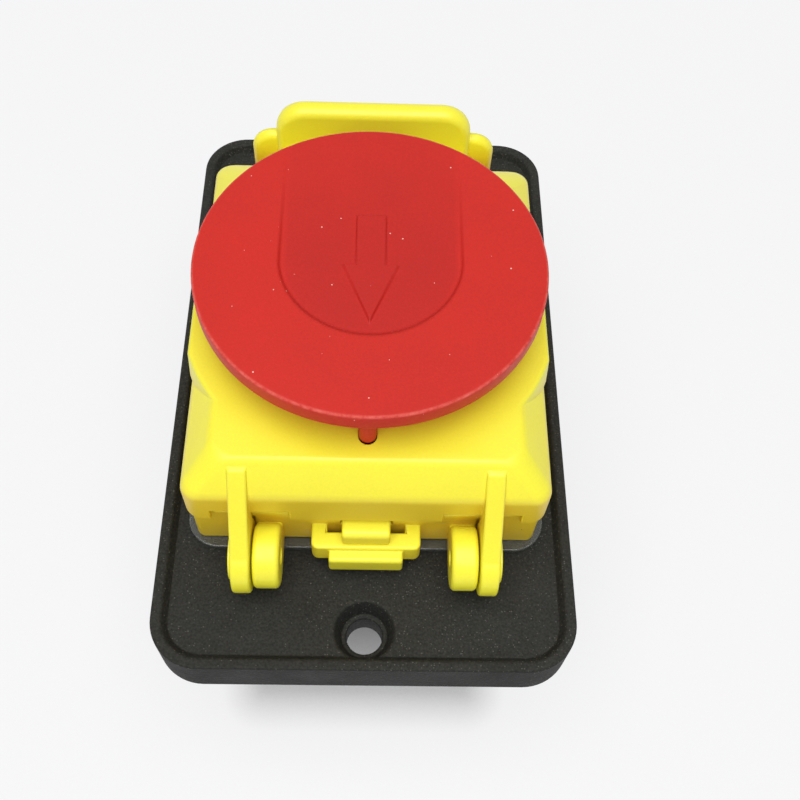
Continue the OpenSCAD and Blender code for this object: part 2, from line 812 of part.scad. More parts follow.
// Ring that presses the seal down, with a tongue out over the front loop
module clamp_ring() {
    room_l = base_in_l - 2 * slide_gap;
    wall_y = max(lid_y - room_l / 2, switch_y - ring_in_l / 2 - ring_end);
    hook_y = base_front_y - slide_gap;
    half_w = tongue_w / 2;
    color("#f2c414") difference() {
        union() {
            intersection() {
                mid_block(ring_w, ring_in_l + 2 * ring_end, neck_corner_r, base_z, base_z + ring_h);
                lid_block(base_in_w, room_l, base_in_r, base_z, base_z + ring_h);
            }
            span([-half_w, wall_y, base_z + ring_h - eps], [half_w, wall_y + tongue_wall, tongue_top_z]);
            nose_bar(tongue_w, loop_front_y + tongue_back, wall_y + eps, tongue_z, tongue_top_z,
                tongue_nose_r);
            span([-half_w, hook_y - loop_window_l + 2 * slide_gap, tongue_z - tongue_hook],
                [half_w, hook_y, tongue_z + eps]);
        }
        mid_block(ring_in_w, ring_in_l, neck_corner_r, base_z - over, tongue_top_z + over);
    }
}

// Four screws that hold case, plate, seal and base frame together
module frame_screws() {
    head_z = flange_z - screw_head_h;
    color("#b9bcc0") at_screws() {
        post(screw_d, flange_z - eps, base_z + screw_reach - screw_short);
        difference() {
            post(screw_head_d, head_z, flange_z);
            for (a = [0, 90]) rotate(a) translate([0, 0, head_z]) cube(screw_slot, center = true);
        }
    }
}

// Deep black case with a flange above and an open terminal bay below
module switch_case() {
    core_room_w = case_in_w - 2 * ledge_w;
    core_room_l = case_in_l - 2 * ledge_w;
    color("#232323") difference() {
        union() {
            mid_block(case_w, case_l, case_r, case_z, floor_under_z);
            mid_block(flange_w, flange_l, flange_r, flange_z, floor_under_z);
        }
        mid_block(case_in_w, case_in_l, case_in_r, case_z - over, bay_z);
        mid_block(case_in_w, case_in_l, case_in_r, deck_z, floor_under_z + over);
        mid_block(core_room_w, core_room_l, case_in_r, inside_z, deck_z + eps);
        at_screws() post(screw_d + 2 * slide_gap, flange_z - over, floor_under_z + over);
        at_tabs() span([-tab_t / 2 - seal_gap, -tab_w / 2 - seal_gap, bay_z - over],
            [tab_t / 2 + seal_gap, tab_w / 2 + seal_gap, inside_z + over]);
    }
}

// Places of the six tab terminals
module at_tabs() {
    for (x = [-1, 1], y = tab_rows) translate([x * tab_x, y, 0]) children();
}

// Places of the two buttons
module at_buttons() {
    for (y = [off_y, on_y]) translate([0, y, 0]) children();
}

// Insulating deck that carries the button springs and guides the stems
module spring_deck() {
    color("#d9d2c3") difference() {
        mid_block(deck_w, deck_l, case_in_r, deck_z, deck_top_z);
        at_buttons() post(button_stem_d + 2 * run_gap, deck_z - over, deck_top_z + over);
    }
}

// Neck that stands through the plate and holds the buttons
module switch_bezel() {
    hole = button_w + 2 * slide_gap;
    under_z = neck_top_z - bezel_top_t;
    color("#2d2d2d") difference() {
        union() {
            mid_block(deck_w, deck_l, case_in_r, deck_top_z, floor_under_z);
            mid_block(neck_w, neck_l, neck_corner_r, floor_under_z - eps, neck_top_z);
        }
        mid_block(neck_w - 2 * neck_wall, neck_l - 2 * neck_wall, neck_corner_r - neck_wall,
            deck_top_z - over, under_z);
        at_buttons() round_block(hole, hole, button_r + slide_gap, under_z - over, neck_top_z + over);
    }
}

// E-shaped iron core
module iron_core() {
    color("#7d7f82") translate([0, core_y, inside_z]) {
        span([-core_w / 2, -core_l / 2, 0], [core_w / 2, core_l / 2, core_back_t]);
        for (y = [-1, 1]) translate([0, y * (core_l - core_leg_l) / 2, 0])
            span([-core_w / 2, -core_leg_l / 2, core_back_t - eps], [core_w / 2, core_leg_l / 2, core_h]);
        span([-core_w / 2, -core_mid_l / 2, core_back_t - eps], [core_w / 2, core_mid_l / 2, core_h]);
    }
}

// Block round the core's middle leg, grown by a margin, with round corners
module core_ring(margin, z0, z1) {
    r = min(margin, bobbin_r);
    translate([0, core_y, 0]) round_block(core_w + 2 * margin, core_mid_l + 2 * margin, r, z0, z1);
}

// Plastic bobbin on the core's middle leg
module coil_bobbin() {
    color("#e8e4d8") difference() {
        union() {
            core_ring(bobbin_gap + bobbin_t, bobbin_z, bobbin_top_z);
            core_ring(bobbin_out, bobbin_z, bobbin_z + bobbin_t);
            core_ring(bobbin_out, bobbin_top_z - bobbin_t, bobbin_top_z);
        }
        core_ring(bobbin_gap, bobbin_z - over, bobbin_top_z + over);
    }
}

// Copper winding on the bobbin
module coil_winding() {
    color("#b5652b") difference() {
        core_ring(bobbin_out - winding_in, bobbin_z + bobbin_t, bobbin_top_z - bobbin_t);
        core_ring(bobbin_gap + bobbin_t, bobbin_z, bobbin_top_z);
    }
}

// Tab and riser of one main terminal, with its fixed contact under a bridge end
module main_terminal(y) {
    out_x = tab_x + tab_t / 2;
    color("#c9a74a") both_sides() translate([0, y, 0]) {
        span([tab_x - tab_t / 2, -tab_w / 2, tab_foot_z], [out_x, tab_w / 2, fixed_z]);
        span([bridge_x - contact_in, -fixed_w / 2, fixed_z - tab_t], [out_x, fixed_w / 2, fixed_z]);
        translate([bridge_x, 0, 0]) post(contact_d, fixed_z - eps, fixed_z + pad_t);
    }
}

module line_terminals() {
    main_terminal(line_y);
}

module load_terminals() {
    main_terminal(load_y);
}

// Coil tabs, led up and over to the break contacts above the stop bridge
module coil_terminals() {
    out_x = tab_x + tab_t / 2;
    top_z = stop_contact_z + tab_t;
    tab_y = coil_tab_y - tab_w / 2;
    arm_y = off_y + stop_arm_w / 2;
    color("#c9a74a") both_sides() {
        span([tab_x - tab_t / 2, tab_y, tab_foot_z], [out_x, tab_y + tab_w, top_z]);
        span([stop_arm_x, arm_y - stop_arm_w, stop_contact_z], [out_x, arm_y, top_z]);
        span([tab_x - stop_link_w, tab_y, stop_contact_z], [out_x, arm_y, top_z]);
    }
}

// Button cap, flange and stem
module button_solid(y, top_z, stem_z) {
    translate([0, y, 0]) {
        round_block(button_w, button_w, button_r, button_flange_z, top_z);
        round_block(button_w + 2 * button_flange, button_w + 2 * button_flange, button_r,
            button_flange_z, button_flange_z + button_flange_t);
        post(button_stem_d, stem_z, button_flange_z + eps);
    }
}

// Clear cap over a button
module boot_solid(y, top_z) {
    inner = button_w + 2 * skin;
    outer = button_w + 2 * boot_t;
    translate([0, y, 0]) difference() {
        round_block(outer, outer, button_r + boot_t, boot_foot_z, top_z + boot_t);
        round_block(inner, inner, button_r + skin, boot_foot_z - over, top_z + skin);
    }
}

module off_button() {
    step_z = stop_bridge_z + bridge_t + stop_stem_up;
    color("#c4281f") {
        button_solid(off_y, off_top_z, step_z);
        translate([0, off_y, 0]) post(stop_stem_d, stop_bridge_z - stop_stem_down, step_z + eps);
    }
}

module off_boot() {
    color("#d8dfe0", 0.5) boot_solid(off_y, off_top_z);
}

// Bar that closes the coil circuit until the off button is pressed
module stop_bridge() {
    top_z = stop_bridge_z + bridge_t;
    half_w = stop_bridge_w / 2;
    half_l = stop_bridge_l / 2;
    color("#c9a74a") translate([0, off_y, 0]) difference() {
        span([-half_w, -half_l, stop_bridge_z], [half_w, half_l, top_z]);
        post(stop_stem_d + 2 * hold_gap, stop_bridge_z - over, top_z + over);
    }
}

// Spring under a button
module button_spring(y) {
    color("#c5c8cb") translate([0, y, 0]) coil_spring(button_spring_d, button_spring_wire,
        deck_top_z + skin, button_flange_z - skin, spring_turns);
}

module off_spring() {
    button_spring(off_y);
}

module on_button() {
    color("#2f9e4b") button_solid(on_y, on_top_z, carrier_top_z + slide_gap);
}

module on_boot() {
    color("#d8dfe0", 0.5) boot_solid(on_y, on_top_z);
}

module on_spring() {
    button_spring(on_y);
}

// Slide that carries the armature and the two contact bridges
module contact_carrier() {
    half_w = carrier_w / 2;
    arm_x = bridge_x + carrier_arm_out;
    arm_l = bridge_arm_w / 2;
    color("#efe9da") difference() {
        union() {
            span([-half_w, on_y - carrier_l / 2, carrier_z], [half_w, on_y + carrier_l / 2, carrier_top_z]);
            span([-half_w, carrier_front_y, carrier_z],
                [half_w, carrier_back_y, carrier_z + carrier_plate_t]);
            span([-arm_x, on_y - arm_l, carrier_z], [arm_x, on_y + arm_l, carrier_top_z]);
        }
        both_sides() translate([bridge_x, on_y, 0])
            span([-carrier_slot_w / 2, -bridge_arm_w, carrier_z - over],
                [carrier_slot_w / 2, bridge_arm_w, carrier_top_z - carrier_roof_t]);
    }
}

// Iron plate that the core pulls down
module armature_plate() {
    color("#8b8d90") span([-core_w / 2, core_y - core_l / 2, armature_z],
        [core_w / 2, core_y + core_l / 2, carrier_z]);
}

// Two spring-loaded bars that join line and load
module contact_bridges() {
    color("#c9a74a") both_sides() translate([bridge_x, on_y, 0])
        span([-bridge_w / 2, -bridge_l / 2, bridge_z], [bridge_w / 2, bridge_l / 2, bridge_z + bridge_t]);
}

module contact_springs() {
    roof_z = carrier_top_z - carrier_roof_t;
    color("#c5c8cb") both_sides() translate([bridge_x, on_y, 0])
        coil_spring(contact_spring_d, contact_spring_wire, bridge_z + bridge_t + skin, roof_z - skin,
            contact_spring_turns);
}

module return_springs() {
    color("#c5c8cb") both_sides() translate([spring_x, spring_y, 0]) coil_spring(return_spring_d,
        return_spring_wire, inside_z + skin, carrier_z - skin, return_spring_turns);
}

// Share of a slope that the rounding at its upper and its lower edge takes up
function round_part(wall, top_z) = lid_round / (top_z - slope_z + wall * wall_drop);

// Outer form of the lid, or of its hollow when drawn smaller by a wall
module lid_form(wall, top_z) {
    w = lid_w - 2 * wall;
    l = lid_l - 2 * wall;
    corner_r = max(lid_corner_r - wall, lid_in_r);
    flat_r = max(lid_flat_r - wall, lid_in_r);
    foot_z = wall > 0 ? skirt_z - over : skirt_z + eps;
    low_z = slope_z - wall * wall_drop;
    part = round_part(wall, top_z);
    steps = [[0, foot_z], [0, low_z - lid_round], [part * round_share, low_z], [part, low_z + lid_round],
        [1 - part, top_z - lid_round], [1, top_z - lid_round * round_share], [1 + part, top_z]];
    hull() for (step = steps) translate([0, step[0] * (slope_front_w - slope_back_w) / 2, 0])
        lid_block(w - 2 * step[0] * slope_side_w, l - step[0] * (slope_front_w + slope_back_w),
            corner_r + step[0] * (flat_r - corner_r), step[1] - eps, step[1], $fn = hull_fn);
}

// Round drum under the disc, cut off at the lid's sides, or its hollow when drawn smaller by a wall
module lid_drum(wall, top_z) {
    foot_z = lid_top_z - drum_h;
    r = drum_top_r - wall;
    e = drum_edge_r;
    flat = 1 + round_part(wall, top_z);
    intersection() {
        translate([0, disc_y, 0]) rotate_extrude() {
            polygon([[0, foot_z], [drum_foot_r - wall, foot_z], [r, top_z - e], [0, top_z - e]]);
            translate([0, top_z - e - eps]) square([r - e, e + eps]);
            translate([r - e, top_z - e]) circle(e);
        }
        front_profile(lid_front_y + wall + flat * slope_front_w, lid_back_y - wall - flat * slope_back_w)
            panel_outline(lid_w - 2 * wall, e, top_z);
    }
}

// Arm that carries the lid on the hinge
module lid_arm() {
    neck_y = lid_front_y + lid_wall - arm_foot;
    neck_z = hinge_z + sqrt(pow(arm_r, 2) - pow(neck_y - hinge_y, 2));
    head_y = lid_front_y + slope_front_w;
    head_z = lid_top_z - arm_head;
    head_l = slope_front_w * arm_head / slope_h + arm_proud;
    side_profile(arm_in_x, arm_out_x) {
        translate([hinge_y, hinge_z]) circle(arm_r);
        polygon([[head_y, head_z], [head_y - head_l, head_z], [kink_y, kink_z], [hinge_y, hinge_z],
            [neck_y, neck_z], [neck_y, slope_z + arm_foot]]);
    }
}

module at_rail_screws() {
    for (x = [-1, 1], y = [-1, 1])
        translate([x * rail_screw_x, rail_y + y * (rail_l / 2 - rail_screw_in), 0]) children();
}

// Yellow hinged lid
module lid() {
    tube_slot = tube_d + 2 * slide_gap;
    peg_slot = peg_d + 2 * run_gap;
    bolt_slot = bolt_w / 2 + slide_gap;
    color("#f7cf1d") difference() {
        union() {
            difference() {
                union() {
                    lid_form(0, lid_top_z);
                    lid_drum(0, lid_top_z);
                }
                lid_form(lid_wall, lid_inner_z);
                lid_drum(lid_wall, lid_inner_z);
                both_sides() translate([notch_x, lid_front_y - over, skirt_z - over])
                    cube([notch_w, lid_wall + 2 * over, notch_h + over]);
            }
            both_sides() lid_arm();
            at_rail_screws() post(rail_boss_d, rail_top_z, lid_inner_z + eps);
        }
        at_hinge() both_sides() bar_x(pin_d + 2 * hold_gap, arm_in_x - over, arm_out_x + over);
        translate([0, disc_y, 0]) slot_y(tube_slot, latch_travel, lid_inner_z - over, lid_top_z + over);
        translate([0, disc_y - peg_reach, 0])
            slot_y(peg_slot, latch_travel, lid_inner_z - over, lid_top_z + over);
        span([-bolt_slot, lid_back_y - slope_back_w - lid_wall - over, slider_z - slide_gap],
            [bolt_slot, lid_back_y + over, slider_top_z + slide_gap]);
        at_rail_screws() post(rail_screw_d + 2 * hold_gap, rail_flange_z, lid_top_z - rail_hole_cap);
    }
}

// Headed pins of the hinge
module hinge_pins() {
    color("#e9bf18") at_hinge() both_sides() {
        bar_x(pin_d, lug_out_x - lug_t + pin_short, arm_out_x + eps);
        bar_x(pin_head_d, arm_out_x, arm_out_x + pin_head_h);
    }
}

// Two rails that hold the slider under the lid's top
module slider_rails() {
    half_l = rail_l / 2;
    color("#d9b21b") difference() {
        both_sides() translate([0, rail_y, 0]) {
            span([rail_in_x - rail_lip, -half_l, rail_lip_z], [rail_web_x, half_l, rail_flange_z]);
            span([rail_in_x, -half_l, rail_flange_z - eps], [rail_web_x, half_l, lid_inner_z]);
            span([rail_web_x - eps, -half_l, rail_flange_z], [rail_out_x, half_l, rail_top_z]);
        }
        at_rail_screws() post(rail_screw_d + 2 * slide_gap, rail_flange_z - over, rail_top_z + over);
    }
}

module rail_screws() {
    color("#b9bcc0") at_rail_screws() {
        post(rail_screw_d, rail_flange_z - eps, lid_top_z - rail_screw_cap);
        post(rail_head_d, rail_flange_z - rail_head_h, rail_flange_z);
    }
}

// Slide under the lid's top with the latch bolt and the stem's guide tube
module latch_slider() {
    color("#ad1f1a") difference() {
        union() {
            span([-slider_w / 2, slider_front_y, slider_z], [slider_w / 2, slider_back_y, slider_top_z]);
            span([-bolt_w / 2, slider_back_y - eps, slider_z], [bolt_w / 2, bolt_tip_y, slider_top_z]);
            translate([0, disc_y, 0]) post(tube_d, slider_z, shield_z);
            translate([0, disc_y, 0]) post(tube_neck_d, slider_z, tube_top_z);
        }
        translate([0, disc_y, 0]) post(stem_d + 2 * run_gap, slider_z - over, tube_top_z + over);
    }
}

// Ring on the guide tube that covers the slot in the lid
module slot_shield() {
    color("#ad1f1a") translate([0, disc_y, 0]) difference() {
        post(shield_d, shield_z, shield_z + shield_t);
        post(tube_neck_d + 2 * hold_gap, shield_z - over, shield_z + shield_t + over);
    }
}

// Outline of the arrow that points to the hinge
module arrow_outline() {
    head_y = arrow_tip_y + arrow_head_l;
    polygon([[0, arrow_tip_y], [arrow_head_w / 2, head_y], [arrow_shaft_w / 2, head_y],
        [arrow_shaft_w / 2, head_y + arrow_shaft_l], [-arrow_shaft_w / 2, head_y + arrow_shaft_l],
        [-arrow_shaft_w / 2, head_y], [-arrow_head_w / 2, head_y]]);
}

// Space above the recess's ramped floor, within an outline seen from above
module above_ramp(up) {
    low_y = thumb_y - thumb_r;
    intersection() {
        side_profile(-thumb_r, thumb_r) polygon([[low_y, disc_top_z - thumb_depth + up],
            [thumb_out_y, disc_top_z + up], [thumb_out_y, disc_top_z + over], [low_y, disc_top_z + over]]);
        translate([0, 0, disc_z]) linear_extrude(disc_t + over) children();
    }
}

// Cutter of the finger recess, which leaves the arrow standing on its floor
module thumb_recess() {
    above_ramp(0) difference() {
        union() {
            translate([0, thumb_y]) circle(thumb_r);
            translate([-thumb_r, thumb_y]) square([2 * thumb_r, thumb_out_y - thumb_y]);
        }
        arrow_outline();
    }
    above_ramp(arrow_up) arrow_outline();
}

// Red stop disc with a finger recess, a raised arrow, its hub, stem and guide peg
module stop_disc() {
    color("#d8362c") {
        difference() {
            translate([0, disc_y, disc_z]) round_disc(disc_d / 2, disc_t, disc_edge_r);
            thumb_recess();
        }
        translate([0, disc_y, 0]) {
            difference() {
                post(hub_out_d, hub_z, disc_z + eps);
                post(hub_in_d, hub_z - over, disc_z);
            }
            difference() {
                post(stem_d, foot_top_z, disc_z + eps);
                post(pusher_screw_d + 2 * hold_gap, foot_top_z - over, pusher_tip_z + slide_gap);
            }
        }
        translate([0, disc_y - peg_reach, 0]) post(peg_d, peg_z, disc_z + eps);
    }
}

// Foot under the stem that reaches over the off button
module stop_pusher() {
    color("#ad1f1a") difference() {
        union() {
            translate([0, disc_y, 0]) post(foot_d, foot_z, foot_top_z);
            span([-foot_w / 2, off_y, foot_z], [foot_w / 2, disc_y, foot_top_z]);
            translate([0, off_y, 0]) post(pad_d, pad_z, foot_top_z);
        }
        translate([0, disc_y, 0]) post(pusher_screw_d + 2 * slide_gap, foot_z - over, foot_top_z + over);
        translate([0, disc_y, 0]) post(pusher_head_d + 2 * slide_gap, foot_z - over, foot_z + pusher_head_h);
    }
}

// Sunk screw that holds the foot to the stem
module pusher_screw() {
    head_z = foot_z + pusher_head_h;
    color("#b9bcc0") translate([0, disc_y, 0]) {
        post(pusher_head_d, foot_z, head_z);
        post(pusher_screw_d, head_z - eps, pusher_tip_z);
    }
}

module stop_spring() {
    color("#c5c8cb") translate([0, disc_y, 0]) coil_spring(stop_spring_d, stop_spring_wire,
        shield_z + shield_t + skin, disc_z - skin, stop_spring_turns);
}

mounting_plate();
clear_seal();
base_frame();
clamp_ring();
frame_screws();
switch_case();
spring_deck();
switch_bezel();
iron_core();
coil_bobbin();
coil_winding();
line_terminals();
load_terminals();
coil_terminals();
off_button();
off_boot();
stop_bridge();
off_spring();
on_button();
on_boot();
on_spring();
contact_carrier();
armature_plate();
contact_bridges();
contact_springs();
return_springs();
lid();
hinge_pins();
slider_rails();
rail_screws();
latch_slider();
slot_shield();
stop_disc();
stop_pusher();
pusher_screw();
stop_spring();
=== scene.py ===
# %% [markdown]
# # A magnetic switch with a hinged stop lid
#
# A black plate screws to a machine's panel, and the switch body hangs behind it. A yellow frame and a hinged
# yellow lid cover the two buttons, and a big red disc on the lid reaches the off button. The solids come in
# with their places and joints already right, in metres. Our work is the surface: soft moulded edges, the
# drawn wire of the springs, the hollow of the disc, and finishes that stand up to a close look.

# %% Load the solids
import json
import math

import bmesh
import bpy
import numpy as np
from mathutils import Matrix, Vector


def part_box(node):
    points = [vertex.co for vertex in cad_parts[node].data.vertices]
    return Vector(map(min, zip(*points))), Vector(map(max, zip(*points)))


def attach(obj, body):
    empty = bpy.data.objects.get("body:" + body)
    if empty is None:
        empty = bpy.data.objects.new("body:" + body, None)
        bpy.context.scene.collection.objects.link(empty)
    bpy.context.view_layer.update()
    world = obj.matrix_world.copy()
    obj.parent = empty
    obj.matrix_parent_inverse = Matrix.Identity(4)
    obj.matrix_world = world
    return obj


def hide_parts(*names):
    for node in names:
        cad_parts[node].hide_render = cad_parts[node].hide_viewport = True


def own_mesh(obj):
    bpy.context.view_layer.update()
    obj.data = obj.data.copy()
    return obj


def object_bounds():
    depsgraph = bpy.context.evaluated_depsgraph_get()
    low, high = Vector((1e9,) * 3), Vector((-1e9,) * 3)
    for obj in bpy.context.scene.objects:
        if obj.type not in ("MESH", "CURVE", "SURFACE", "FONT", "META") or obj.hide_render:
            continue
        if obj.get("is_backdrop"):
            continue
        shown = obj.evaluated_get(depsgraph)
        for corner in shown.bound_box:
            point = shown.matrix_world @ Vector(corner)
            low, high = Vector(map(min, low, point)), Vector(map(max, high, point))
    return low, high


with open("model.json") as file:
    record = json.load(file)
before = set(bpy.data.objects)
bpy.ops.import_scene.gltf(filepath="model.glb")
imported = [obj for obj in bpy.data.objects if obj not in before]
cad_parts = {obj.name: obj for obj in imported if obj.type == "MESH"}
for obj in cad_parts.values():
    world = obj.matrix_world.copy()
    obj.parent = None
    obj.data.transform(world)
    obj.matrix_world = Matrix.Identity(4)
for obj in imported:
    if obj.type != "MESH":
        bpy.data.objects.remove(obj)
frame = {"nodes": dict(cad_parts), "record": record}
cad_low, cad_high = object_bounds()
MM = 0.001
solids = frame["nodes"]
carried_by = {n: b for b, members in frame["record"]["behaviour"]["bodies"].items() for n in members}
print(len(solids), "solids, box in mm:", [round(v / MM, 1) for v in cad_high - cad_low])

# %% [markdown]
# ## Where the camera stands
#
# The picture looks down steeply on the plate's front edge, with a slight roll. A camera is three directions and
# a place: right, up and back. We work the directions out from the angles instead of aiming at a target,
# because a target constraint can't hold the roll.

# %% Camera
AZIMUTH, ELEVATION, ROLL = (math.radians(a) for a in (-3.187, 59.757, 3.794))
CAMERA_AT = np.array([0.354, -103.724, 175.782]) * MM
LENS_MM, SENSOR_MM = 47.117, 36.0
CLIP_NEAR, CLIP_FAR = 0.01, 20


def camera_axes(azimuth, elevation, roll):
    """Right, up and back of a level camera at these angles, with right and up then turned by the roll."""
    back = np.array([math.sin(azimuth) * math.cos(elevation), -math.cos(azimuth) * math.cos(elevation),
                     math.sin(elevation)])
    right = np.cross(-back, [0, 0, 1])
    right /= np.linalg.norm(right)
    up = np.cross(right, -back)
    return (right * math.cos(roll) + up * math.sin(roll), up * math.cos(roll) - right * math.sin(roll), back)


lens = bpy.data.cameras.new("bench_camera")
lens.lens, lens.sensor_width = LENS_MM, SENSOR_MM
lens.clip_start, lens.clip_end = CLIP_NEAR, CLIP_FAR
camera = bpy.data.objects.new("bench_camera", lens)
placed = np.eye(4)
placed[:3, :3] = np.array(camera_axes(AZIMUTH, ELEVATION, ROLL)).T
placed[:3, 3] = CAMERA_AT
camera.matrix_world = Matrix(placed)
bpy.context.scene.collection.objects.link(camera)
bpy.context.scene.camera = camera
bpy.context.scene.view_settings.view_transform = "Standard"
print("camera", round(float(np.linalg.norm(CAMERA_AT)) / MM), "mm from the plate's middle")

# %% [markdown]
# ## Building shaders from small parts
#
# A finish is easier to keep true when each effect is built once. The helpers below put one node into a tree
# and set or link its inputs by name, so that a whole effect reads as a few lines.


# %% Node helpers
MIX_MASK, MIX_UNDER, MIX_OVER, MIX_COLOUR = 0, 6, 7, 2


def feed(tree, target, value):
    """Link a socket, or set a plain value, on an input."""
    if isinstance(value, bpy.types.NodeSocket):
        tree.links.new(value, target)
    else:
        target.default_value = value


def put(tree, kind, settings=None, **inputs):
    """A shader node with its settings, and its inputs by name, where _ stands for a space."""
    made = tree.nodes.new("ShaderNode" + kind)
    for name, value in (settings or {}).items():
        setattr(made, name, value)
    for name, value in inputs.items():
        feed(tree, made.inputs[name.replace("_", " ")], value)
    return made


def calc(tree, operation, first, second):
    """One step of arithmetic on two values or sockets."""
    made = put(tree, "Math", {"operation": operation})
    feed(tree, made.inputs[0], first)
    feed(tree, made.inputs[1], second)
    return made.outputs[0]


def vector_calc(tree, operation, first, second):
    """One step of arithmetic on two vectors."""
    made = put(tree, "VectorMath", {"operation": operation})
    feed(tree, made.inputs[0], first)
    feed(tree, made.inputs[1], second)
    return made.outputs[0]


def length_of(tree, vector):
    """How long a vector is."""
    return put(tree, "VectorMath", {"operation": "LENGTH"}, Vector=vector).outputs["Value"]


def off_box(tree, place, half):
    """How far a place lies out of a box about the origin, and 0 inside it."""
    beyond = vector_calc(tree, "SUBTRACT", vector_calc(tree, "ABSOLUTE", place, (0, 0, 0)), half)
    return length_of(tree, vector_calc(tree, "MAXIMUM", beyond, (0, 0, 0)))


def spread(tree, value, low, high, to_low, to_high):
    """A value carried from one range to another, and held at the ends."""
    return put(tree, "MapRange", Value=value, From_Min=low, From_Max=high, To_Min=to_low, To_Max=to_high).outputs[0]


def tint(tree, mask, under, over):
    """A colour that goes from under to over as the mask goes from 0 to 1."""
    made = put(tree, "Mix", {"data_type": "RGBA"})
    for at, value in ((MIX_MASK, mask), (MIX_UNDER, under), (MIX_OVER, over)):
        feed(tree, made.inputs[at], value)
    return made.outputs[MIX_COLOUR]


print("node helpers ready")


# %% Group helpers
NOISE_LOW, NOISE_HIGH, CORE_LOW, CORE_HIGH = 0.3, 0.7, 0.35, 0.65


def effect(name, inputs, outputs):
    """An empty node group: inputs are (name, kind, default), outputs are (name, kind)."""
    tree = bpy.data.node_groups.new(name, "ShaderNodeTree")
    for label, kind, default in inputs:
        tree.interface.new_socket(label, in_out="INPUT", socket_type="NodeSocket" + kind).default_value = default
    for label, kind in outputs:
        tree.interface.new_socket(label, in_out="OUTPUT", socket_type="NodeSocket" + kind)
    given = tree.nodes.new("NodeGroupInput").outputs
    made = tree.nodes.new("NodeGroupOutput").inputs
    return tree, given, made, put(tree, "TexCoord").outputs["Object"]


def use(tree, group, **inputs):
    """The outputs of a group placed in a material, with its own values."""
    return put(tree, "Group", {"node_tree": group}, **inputs).outputs


def noise(tree, place, scale, detail, roughness=0.5):
    """The value of a noise texture. It mostly lies between NOISE_LOW and NOISE_HIGH, and often between CORE_LOW and
    CORE_HIGH."""
    return put(tree, "TexNoise", Vector=place, Scale=scale, Detail=detail, Roughness=roughness).outputs[0]


def swing(tree, value, reach):
    """Noise as a change about 0, from about -reach to +reach."""
    return calc(tree, "MULTIPLY", spread(tree, value, NOISE_LOW, NOISE_HIGH, -1.0, 1.0), reach)


print("group helpers ready")

# %% [markdown]
# ## Effects that several finishes share
#
# Moulded plastic is never one even colour: the pigment drifts, the mould's spark-eroded skin leaves a fine grain,
# and dust settles on it. Each of these is a group on Object coordinates, so a pattern keeps its real size on
# every piece. Noise textures are a better choice here than pictures: they have no edge and no fixed resolution.

# %% Pigment and mould grain
FLECK_SCALE, WEAR_SCALE, PIT_SHARE = 2600.0, 90.0, 0.5
pigment, given, made, place = effect(
    "pigment", [("Colour", "Color", (1, 1, 1, 1)), ("Patch Scale", "Float", 60.0), ("Drift", "Float", 0.05),
                ("Fleck", "Float", 0.02)], [("Colour", "Color")])
wide = swing(pigment, noise(pigment, place, given["Patch Scale"], detail=4.0, roughness=0.6), given["Drift"])
fine = swing(pigment, noise(pigment, place, FLECK_SCALE, detail=1.0), given["Fleck"])
bright = calc(pigment, "ADD", 1.0, calc(pigment, "ADD", wide, fine))
feed(pigment, made["Colour"], put(pigment, "HueSaturation", Value=bright, Color=given["Colour"]).outputs[0])

grain, given, made, place = effect(
    "mould_grain", [("Grain Scale", "Float", 3000.0), ("Roughness", "Float", 0.4), ("Change", "Float", 0.1)],
    [("Height", "Float"), ("Roughness", "Float")])
pits = put(grain, "TexVoronoi", Vector=place, Scale=given["Grain Scale"]).outputs["Distance"]
bumps = noise(grain, place, given["Grain Scale"], detail=3.0, roughness=0.65)
feed(grain, made["Height"], calc(grain, "ADD", bumps, calc(grain, "MULTIPLY", pits, PIT_SHARE)))
feed(grain, made["Roughness"], calc(grain, "ADD", given["Roughness"], swing(
    grain, noise(grain, place, WEAR_SCALE, detail=5.0, roughness=0.7), given["Change"])))
print("effects:", pigment.name, grain.name)

# %% [markdown]
# Dust is a scatter of small dots. A Voronoi texture splits space into cells of random colour: one channel decides
# whether a cell holds a dot, another how large it is, and a slow noise lets the dots gather in places.
#
# Upright walls of a moulding get a painted shade: a darker, warmer colour that stands in for the shade they get under
# the light from above and among the parts around them. A mask from the normal's height tells them apart, and it turns
# with the piece. It fades out of a box, because walls that stand clear of the rest get their light straight from the
# room.

# %% Dust and painted shade on upright walls
GATHER_SCALE, THIN_SHARE, THICK_SHARE = 45.0, 0.2, 1.6
dust, given, made, place = effect(
    "dust", [("Speck Scale", "Float", 700.0), ("Speck Size", "Float", 0.12), ("Cover", "Float", 0.3)],
    [("Mask", "Float")])
crumbs = put(dust, "TexVoronoi", Vector=place, Scale=given["Speck Scale"])
lot = put(dust, "SeparateColor", Color=crumbs.outputs["Color"]).outputs
dots = calc(dust, "LESS_THAN", crumbs.outputs["Distance"], calc(dust, "MULTIPLY", given["Speck Size"], lot["Green"]))
gathered = spread(dust, noise(dust, place, GATHER_SCALE, detail=2.0), CORE_LOW, CORE_HIGH, THIN_SHARE, THICK_SHARE)
held = calc(dust, "LESS_THAN", lot["Red"], calc(dust, "MULTIPLY", given["Cover"], gathered))
feed(dust, made["Mask"], calc(dust, "MULTIPLY", dots, held))

# Painted shade: the mask of upright walls that take a darker colour in place of shade.
wall_shade, given, made, place = effect(
    "painted_wall_shade", [("Least", "Float", 0.1), ("Most", "Float", 0.75), ("Half Box", "Vector", (1.0, 1.0, 1.0)),
                      ("Fade", "Float", 0.006)], [("Mask", "Float")])
facing = put(wall_shade, "SeparateXYZ", Vector=put(wall_shade, "TexCoord").outputs["Normal"]).outputs["Z"]
upright = spread(wall_shade, facing, given["Least"], given["Most"], 1.0, 0.0)
feed(wall_shade, made["Mask"], calc(wall_shade, "MULTIPLY", upright, spread(
    wall_shade, off_box(wall_shade, place, given["Half Box"]), 0.0, given["Fade"], 1.0, 0.0)))
print("effects:", dust.name, wall_shade.name)
